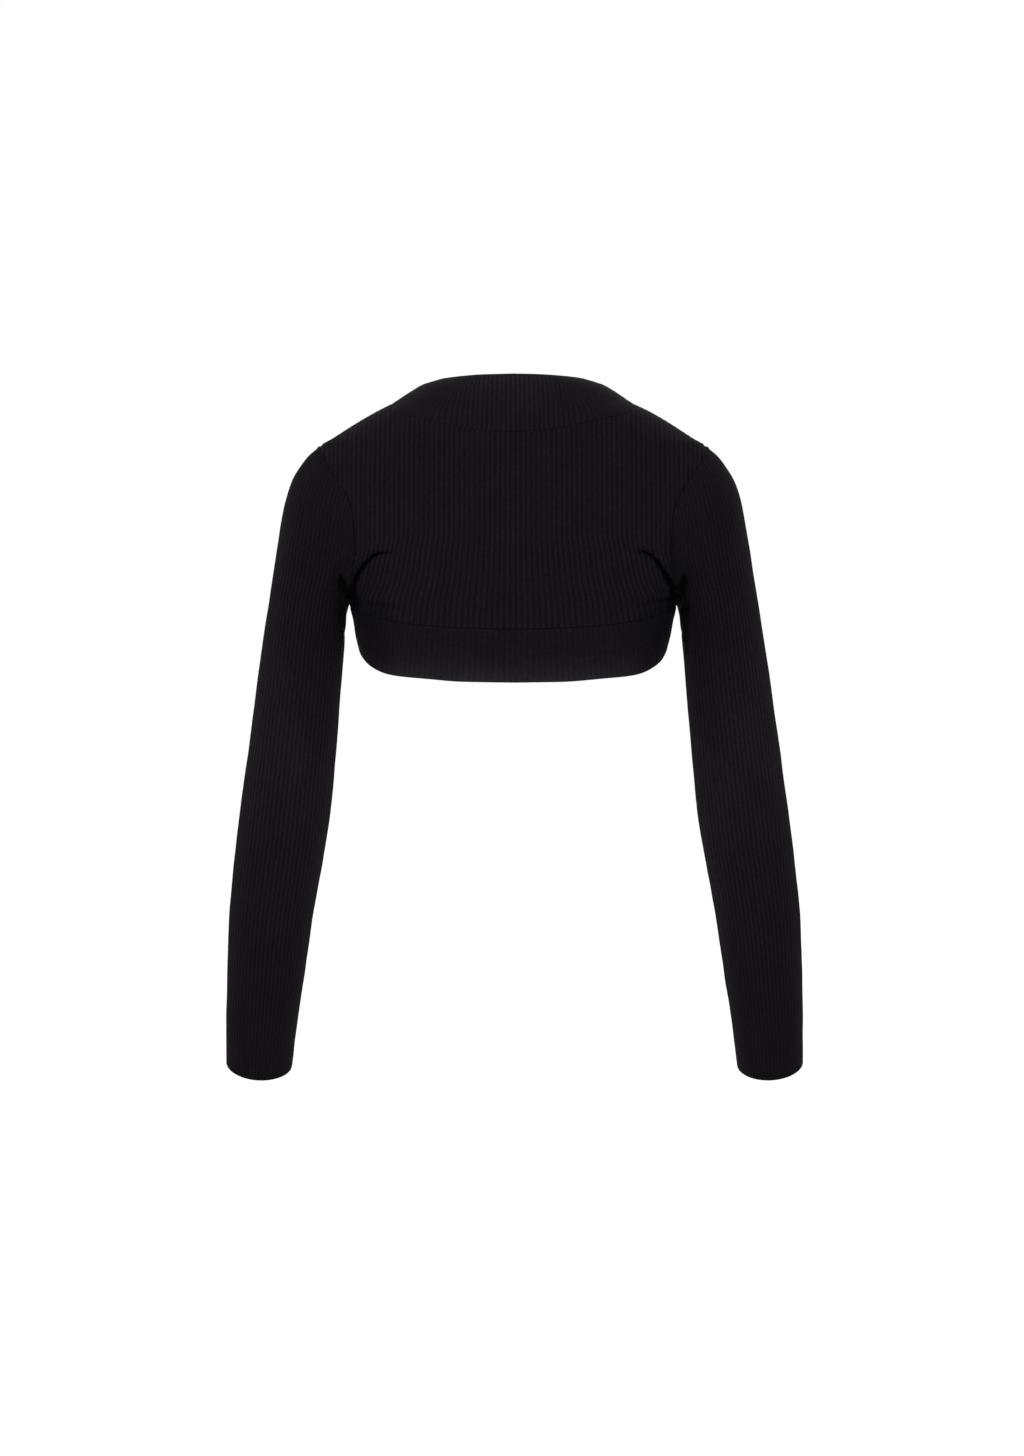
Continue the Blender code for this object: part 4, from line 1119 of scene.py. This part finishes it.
# ---- Materials ----
NAP_TINT = (0.96, 0.8, 1.0, 1.0)


def ramp(tree, value, low, high, start, end, kind="LINEAR"):
    """A number mapped from one range to another."""
    names = {"Value": value, "From Min": low, "From Max": high, "To Min": start, "To Max": end}
    return add_node(tree, "ShaderNodeMapRange", names, interpolation_type=kind).outputs[0]


def varied(tree, value, least, most):
    """A noise's value, stretched to run from least to most."""
    return ramp(tree, value, 0.3, 0.7, least, most)


def new_material(name, roughness, sheen, sheen_roughness, specular):
    """A Principled material. Returns it with its tree and shader."""
    material = bpy.data.materials.new(name)
    material.use_nodes = True
    shader = material.node_tree.nodes["Principled BSDF"]
    shader.inputs["Roughness"].default_value = roughness
    shader.inputs["Sheen Weight"].default_value = sheen
    shader.inputs["Sheen Roughness"].default_value = sheen_roughness
    shader.inputs["Sheen Tint"].default_value = NAP_TINT
    shader.inputs["Specular IOR Level"].default_value = specular
    return material, material.node_tree, shader


def coloured(tree, shader, colour, shade):
    """Colours a shader with a colour times a number of its tree."""
    mixed = add_node(tree, "ShaderNodeCombineColor")
    for channel, amount in enumerate(colour):
        tree.links.new(calc(tree, "MULTIPLY", shade, amount), mixed.inputs[channel])
    tree.links.new(mixed.outputs[0], shader.inputs["Base Color"])


def bumped(tree, shader, height, strength, distance):
    """Gives a shader the bump of a height in its tree."""
    bump = add_node(tree, "ShaderNodeBump", {"Height": height, "Strength": strength, "Distance": distance})
    tree.links.new(bump.outputs[0], shader.inputs["Normal"])


@functools.cache
def knit_material(slot):
    """Near-black rib knit: painted shade between the ribs, fine columns of stitches, faint uneven dye and nap,
    and the painted shade and highlight that each point carries.
    """
    look = bpy.context.scene.shrug_colours
    colour = np.array(look.panel) * look.depth
    if slot == "rib_band":
        colour = np.array(look.band) * look.depth * look.doubled
    material, tree, shader = new_material(slot, 0.82, look.sheen, 0.3, 0.02)
    here = add_node(tree, "ShaderNodeTexCoord").outputs["Object"]
    broad, fine = noise(tree, here, 38.0, 2.0), noise(tree, here, 420.0, 1.0)
    firm, fold = (
        add_node(tree, "ShaderNodeAttribute", attribute_name=name).outputs["Fac"] for name in ("firm", "fold")
    )
    place = add_node(tree, "ShaderNodeUVMap", uv_map="knit").outputs[0]
    rib, course = add_node(tree, "ShaderNodeSeparateXYZ", {0: place}).outputs[:2]
    wave = calc(tree, "COSINE", product(tree, rib, math.tau))
    # Painted shade between the ribs: darker in their valleys, evened out to one lightness where the ribs lie
    # flat.
    crown = ramp(tree, wave, -0.9, 0.5, look.valley, 1.0, "SMOOTHSTEP")
    crown = calc(tree, "MULTIPLY_ADD", calc(tree, "SUBTRACT", crown, look.smooth), firm, look.smooth)
    # fold darkens the colour by the painted shade in folds, the armpit and the gap under the arm, paints light
    # down the sleeves and paints a highlight along the band's folded edge.
    dark = calc(tree, "MULTIPLY_ADD", fold, -look.fold, 1.0)
    uneven = varied(tree, broad, 0.9, 1.1), varied(tree, fine, 0.84, 1.16)
    coloured(tree, shader, colour, product(tree, crown, dark, *uneven))
    wale = calc(tree, "PINGPONG", product(tree, rib, 4.0), 0.5)
    stitch = calc(tree, "SINE", product(tree, calc(tree, "ADD", course, wale), math.pi))
    stitch = calc(tree, "MULTIPLY_ADD", calc(tree, "ABSOLUTE", stitch), 0.6, 0.4)
    column = calc(tree, "SQRT", calc(tree, "MULTIPLY_ADD", wale, -2.0, 1.0))
    height = calc(tree, "MULTIPLY_ADD", fine, 0.5, product(tree, column, stitch))
    bumped(tree, shader, height, 0.55, 0.00022)
    tree.links.new(varied(tree, broad, 0.78, 0.9), shader.inputs["Roughness"])
    return material


@functools.cache
def thread_material():
    """Near-black overlock thread, a little smoother than the knit."""
    look = bpy.context.scene.shrug_colours
    material, tree, shader = new_material("overlock_thread", 0.7, look.sheen, 0.4, 0.08)
    strand = noise(tree, add_node(tree, "ShaderNodeTexCoord").outputs["Object"], 900.0, 2.0)
    coloured(tree, shader, np.array(look.panel) * look.depth, varied(tree, strand, 0.6, 1.1))
    bumped(tree, shader, strand, 0.5, 0.0001)
    return material


# ---- Pieces ----
def add_cut(name):
    """The knitted cloth of one cut piece, in place of its plain solid."""
    knit = bpy.context.scene.shrug
    cut = garment()[name]
    slot = "rib_band" if name == "band" else "rib_knit"
    values = {
        "Rib depth": knit.band_rib_depth if name == "band" else knit.rib_depth,
        "Rib roundness": knit.rib_roundness,
        "Unevenness": knit.unevenness,
        "Material": knit_material(slot),
    }
    thing = grown("knit_" + name, new_mesh(name, *shell(cut)), rib_tree(), values)
    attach(thing, "root")
    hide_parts(name)
    return thing


def overlock(name, line, out, closed):
    """A seam's bound allowance: a closed cord inside the seam, with a thread looped round it."""
    if closed:
        line, out = np.concatenate([line, line[:1]]), np.concatenate([out, out[:1]])
    in_armhole = "armhole" in name
    deeper = OVERLOCK_DEEPER * in_armhole * eased(line[:, 2], *CAP_Z)
    centre = line - out * (OVERLOCK_DEPTH * (1 + deeper))[:, None]
    run = run_along(centre)
    count = max(int(run[-1] / bpy.context.scene.shrug.stitch), 3)
    short = 0.0 if closed else OVERLOCK_END
    steps = np.linspace(short, run[-1] - short, 2 * count + 1)
    centre, out = (
        np.stack([np.interp(steps, run, values) for values in vectors.T], axis=-1) for vectors in (centre, out)
    )
    out, way = unit(out), unit(np.gradient(centre, axis=0))
    if closed:
        way[0] = way[-1] = unit(centre[1] - centre[-2])
        centre, out, way = centre[:-1], out[:-1], way[:-1]
    side = unit(np.cross(way, out))
    wide = OVERLOCK_WIDE
    if in_armhole:
        wide = (CAP_WIDE + (PIT_WIDE - CAP_WIDE) * eased(centre[:, 2:], *PIT_WIDTH_Z))[..., None]
    sides = 8
    turn = np.arange(sides)[:, None] * math.tau / sides
    rings = centre[:, None] + OVERLOCK_RADIUS * (
        wide * np.cos(turn) * side[:, None] + OVERLOCK_THICK * np.sin(turn) * out[:, None]
    )
    index = np.arange(rings.shape[0] * sides).reshape(-1, sides)
    index = np.concatenate([index, index[:, :1]], axis=1)
    if closed:
        index = np.concatenate([index, index[:1]])
    faces = [*corners(index).reshape(-1, 4)[:, [0, 3, 2, 1]]]
    for end, order in () if closed else ((index[0], -1), (index[-1], 1)):
        faces += [end[[0, place + 2, place + 1, place]][::order] for place in (1, 3, 5)]
    lean = unit(way[::2] + STITCH_LEAN * side[::2])
    outward = unit(out[::2] - lean * (out[::2] * lean).sum(-1, keepdims=True))
    rings = rings.reshape(-1, 3)
    stitches = {"stitch": np.ones(len(lean)), "way": lean, "outward": outward}
    bare = len(rings)
    values = {
        key: np.concatenate([np.zeros((bare, *value.shape[1:])), value]) for key, value in stitches.items()
    }
    mesh = new_mesh(name, np.concatenate([rings, centre[::2]]), faces, None, values)
    sizes = {"Thread radius": THREAD_RADIUS, "Loop radius": OVERLOCK_RADIUS * LOOP_ROUND}
    thing = grown(name, mesh, overlock_tree(), sizes | {"Material": thread_material()})
    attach(thing, "root")


# ---- What a user may change ----
class ShrugKnit(bpy.types.PropertyGroup):
    """Sizes of the knit."""

    cloth: FloatProperty(
        name="Cloth", description="Thickness of one layer", default=0.0018, unit="LENGTH"
    )
    doubled: FloatProperty(
        name="Band", description="Thickness of the doubled band", default=0.003, unit="LENGTH"
    )
    rib_depth: FloatProperty(
        name="Rib Depth", description="Height of the ribs", default=0.00055, unit="LENGTH"
    )
    band_rib_depth: FloatProperty(
        name="Band Rib Depth", description="Height of the band's ribs", default=0.00048, unit="LENGTH"
    )
    rib_roundness: FloatProperty(
        name="Rib Roundness", description="Below 1 the ribs are broad and their valleys narrow", default=0.75
    )
    unevenness: FloatProperty(
        name="Unevenness", description="How far the worn cloth wanders", default=0.0016, unit="LENGTH"
    )
    course: FloatProperty(name="Course", description="Height of one stitch", default=0.0011, unit="LENGTH")
    stitch: FloatProperty(
        name="Overlock Stitch", description="Between overlock stitches", default=0.0025, unit="LENGTH"
    )
    back_columns: IntProperty(
        name="Back Columns", description="Columns of faces in half of the back", default=236
    )
    back_rows: IntProperty(name="Back Rows", description="Rows of faces up the back", default=122)
    front_rows: IntProperty(name="Front Rows", description="Rows of faces up a front", default=210)
    front_columns: IntProperty(
        name="Front Columns", description="Columns of faces across a front", default=90
    )
    sleeve_ribs: IntProperty(name="Sleeve Ribs", description="Ribs round a sleeve", default=61)
    sleeve_steps: IntProperty(
        name="Sleeve Rib Steps", description="Faces across a sleeve's rib", default=6
    )
    band_steps: IntProperty(name="Band Rib Steps", description="Faces across a rib of the band", default=6)
    sleeve_step: FloatProperty(
        name="Sleeve Rows", description="Between rows of faces on a sleeve", default=0.0049, unit="LENGTH"
    )


class ShrugColours(bpy.types.PropertyGroup):
    """Colours of the knit and the studio."""

    panel: FloatVectorProperty(
        name="Knit", description="Colour of the panels", subtype="COLOR", size=3, default=FINISH["rib_knit"]
    )
    band: FloatVectorProperty(
        name="Band", description="Colour of the band", subtype="COLOR", size=3, default=FINISH["rib_band"]
    )
    floor: FloatVectorProperty(
        name="Floor", description="Colour of the floor", subtype="COLOR", size=3, default=(0.86, 0.86, 0.86)
    )
    depth: FloatVectorProperty(
        name="Depth",
        description="Share of each of the dye's colours that the open knit gives back",
        size=3,
        default=(0.565, 0.540, 0.582),
    )
    doubled: FloatProperty(
        name="Band Lightness", description="Lightness of the doubled band beside the panels", default=0.97
    )
    # valley and smooth set the painted shade between the ribs: its lightness in their valleys, and where they
    # lie flat.
    valley: FloatProperty(
        name="Valleys", description="Lightness between the ribs", subtype="FACTOR", default=0.62
    )
    smooth: FloatProperty(
        name="Smooth Cloth", description="Lightness where the ribs lie flat", subtype="FACTOR", default=0.72
    )
    # Scales all the painted shade and painted highlight carried in fold, not only that of folds.
    fold: FloatProperty(
        name="Folds", description="How much darker a deep fold is", subtype="FACTOR", default=0.94
    )
    sheen: FloatProperty(name="Nap", description="Sheen of the knit's nap", subtype="FACTOR", default=0.03)
    light: FloatProperty(name="Light", description="Brightness of the surrounding light", default=1.0)
    key: FloatProperty(
        name="Key Light", description="Power of the soft key light", default=30.0, unit="POWER"
    )


class SHRUG_OT_back(bpy.types.Operator):
    """Knits the back panel"""

    bl_idname = "shrug.back"
    bl_label = "Back"

    def execute(self, context):
        add_cut("back")
        return {"FINISHED"}


class SHRUG_OT_fronts(bpy.types.Operator):
    """Knits the two narrow fronts"""

    bl_idname = "shrug.fronts"
    bl_label = "Fronts"

    def execute(self, context):
        for name in ("front_right", "front_left"):
            add_cut(name)
        return {"FINISHED"}


class SHRUG_OT_sleeves(bpy.types.Operator):
    """Knits the two sleeves"""

    bl_idname = "shrug.sleeves"
    bl_label = "Sleeves"

    def execute(self, context):
        for name in ("sleeve_right", "sleeve_left"):
            add_cut(name)
        return {"FINISHED"}


class SHRUG_OT_band(bpy.types.Operator):
    """Knits the doubled band round the whole opening"""

    bl_idname = "shrug.band"
    bl_label = "Band"

    def execute(self, context):
        add_cut("band")
        return {"FINISHED"}


class SHRUG_OT_seams(bpy.types.Operator):
    """Overlocks the seams inside"""

    bl_idname = "shrug.seams"
    bl_label = "Seams"

    def execute(self, context):
        cuts = garment()
        overlock("overlock_band", cuts["band"].points[0], cuts["band"].out[0], True)
        for side in ("right", "left"):
            arm, front = cuts["sleeve_" + side], cuts["front_" + side]
            under = arm.points.shape[1] // 2
            overlock("overlock_armhole_" + side, arm.points[0], arm.out[0], True)
            overlock("overlock_sleeve_" + side, arm.points[:-9, under], arm.out[:-9, under], False)
            overlock("overlock_shoulder_" + side, front.points[-1], front.out[-1], False)
            overlock("overlock_side_" + side, front.points[0], front.out[0], False)
        return {"FINISHED"}


class SHRUG_OT_stage(bpy.types.Operator):
    """Sets a pale floor, soft light and the camera"""

    bl_idname = "shrug.stage"
    bl_label = "Stage"

    def execute(self, context):
        look = context.scene.shrug_colours
        floor_disk(look)
        surrounding_light(look)
        soft_light("key", (-1.2, -2.4, 2.6), look.key)
        soft_light("front_fill", (1.0, 2.6, 2.4), look.key / 2)
        add_camera()
        context.scene.view_settings.view_transform = "Standard"
        return {"FINISHED"}


class SHRUG_PT_sidebar(bpy.types.Panel):
    """Lists the shrug's sizes, colours and pieces"""

    bl_idname = "SHRUG_PT_sidebar"
    bl_label = "Rib Knit Shrug"
    bl_space_type = "VIEW_3D"
    bl_region_type = "UI"
    bl_category = "Shrug"

    def draw(self, context):
        for settings in (context.scene.shrug, context.scene.shrug_colours):
            for name in settings.__annotations__:
                self.layout.prop(settings, name)
        for operator in OPERATORS:
            self.layout.operator(operator.bl_idname)


# ---- Stage ----
FLOOR_Z = -1.42
LIT_POINT = (0.0, 0.0, -0.2)  # the point that the lights face
LIGHT_SIZE = 2.4
CAMERA_PLACE = (-0.001, -4.0, -0.290)
WHITE = (1.0, 1.0, 1.0, 1.0)


def floor_disk(look):
    """A very wide pale floor, as far below as a wearer's feet."""
    sides, radius = 96, 60.0
    turn = np.arange(sides) * math.tau / sides
    points = np.stack([radius * np.cos(turn), radius * np.sin(turn), np.full(sides, FLOOR_Z)], axis=-1)
    mesh = bpy.data.meshes.new("floor")
    mesh.from_pydata(points.tolist(), [], [list(range(sides))])
    material, tree, shader = new_material("pale_floor", 0.9, 0.0, 0.5, 0.2)
    cloud = noise(tree, add_node(tree, "ShaderNodeTexCoord").outputs["Object"], 0.8, 2.0)
    coloured(tree, shader, look.floor, varied(tree, cloud, 0.99, 1.01))
    shader.inputs["Emission Color"].default_value = WHITE
    shader.inputs["Emission Strength"].default_value = 0.18
    mesh.materials.append(material)
    floor = bpy.data.objects.new("floor", mesh)
    bpy.context.scene.collection.objects.link(floor)


def surrounding_light(look):
    """Even white light from all round."""
    world = bpy.data.worlds.new("studio")
    world.use_nodes = True
    background = world.node_tree.nodes["Background"]
    background.inputs["Color"].default_value = WHITE
    background.inputs["Strength"].default_value = look.light
    bpy.context.scene.world = world


def soft_light(name, place, power):
    """A large square light aimed at the shrug."""
    data = bpy.data.lights.new(name, "AREA")
    data.size = LIGHT_SIZE
    data.energy = power
    light = bpy.data.objects.new(name, data)
    light.location = place
    light.rotation_euler = (Vector(LIT_POINT) - Vector(place)).to_track_quat("-Z", "Y").to_euler()
    bpy.context.scene.collection.objects.link(light)


def add_camera():
    """A level camera behind the wearer, on a long lens."""
    data = bpy.data.cameras.new("camera")
    data.sensor_width = 36.0
    data.lens = 103.4
    data.clip_end = 200.0
    camera = bpy.data.objects.new("camera", data)
    camera.location = CAMERA_PLACE
    camera.rotation_euler = (math.pi / 2, 0.0, 0.0)
    bpy.context.scene.collection.objects.link(camera)
    bpy.context.scene.camera = camera


OPERATORS = (SHRUG_OT_back, SHRUG_OT_fronts, SHRUG_OT_sleeves, SHRUG_OT_band, SHRUG_OT_seams, SHRUG_OT_stage)
CLASSES = (ShrugKnit, ShrugColours, *OPERATORS, SHRUG_PT_sidebar)


def register():
    """Adds the classes and the scene's settings."""
    for kind in CLASSES:
        bpy.utils.register_class(kind)
    bpy.types.Scene.shrug = PointerProperty(type=ShrugKnit)
    bpy.types.Scene.shrug_colours = PointerProperty(type=ShrugColours)


def unregister():
    """Takes them away again."""
    del bpy.types.Scene.shrug_colours
    del bpy.types.Scene.shrug
    for kind in reversed(CLASSES):
        bpy.utils.unregister_class(kind)


def main():
    """Builds the whole shrug and its studio."""
    register()
    bpy.ops.shrug.back()
    bpy.ops.shrug.fronts()
    bpy.ops.shrug.sleeves()
    bpy.ops.shrug.band()
    bpy.ops.shrug.seams()
    bpy.ops.shrug.stage()


if __name__ == "__main__":
    main()
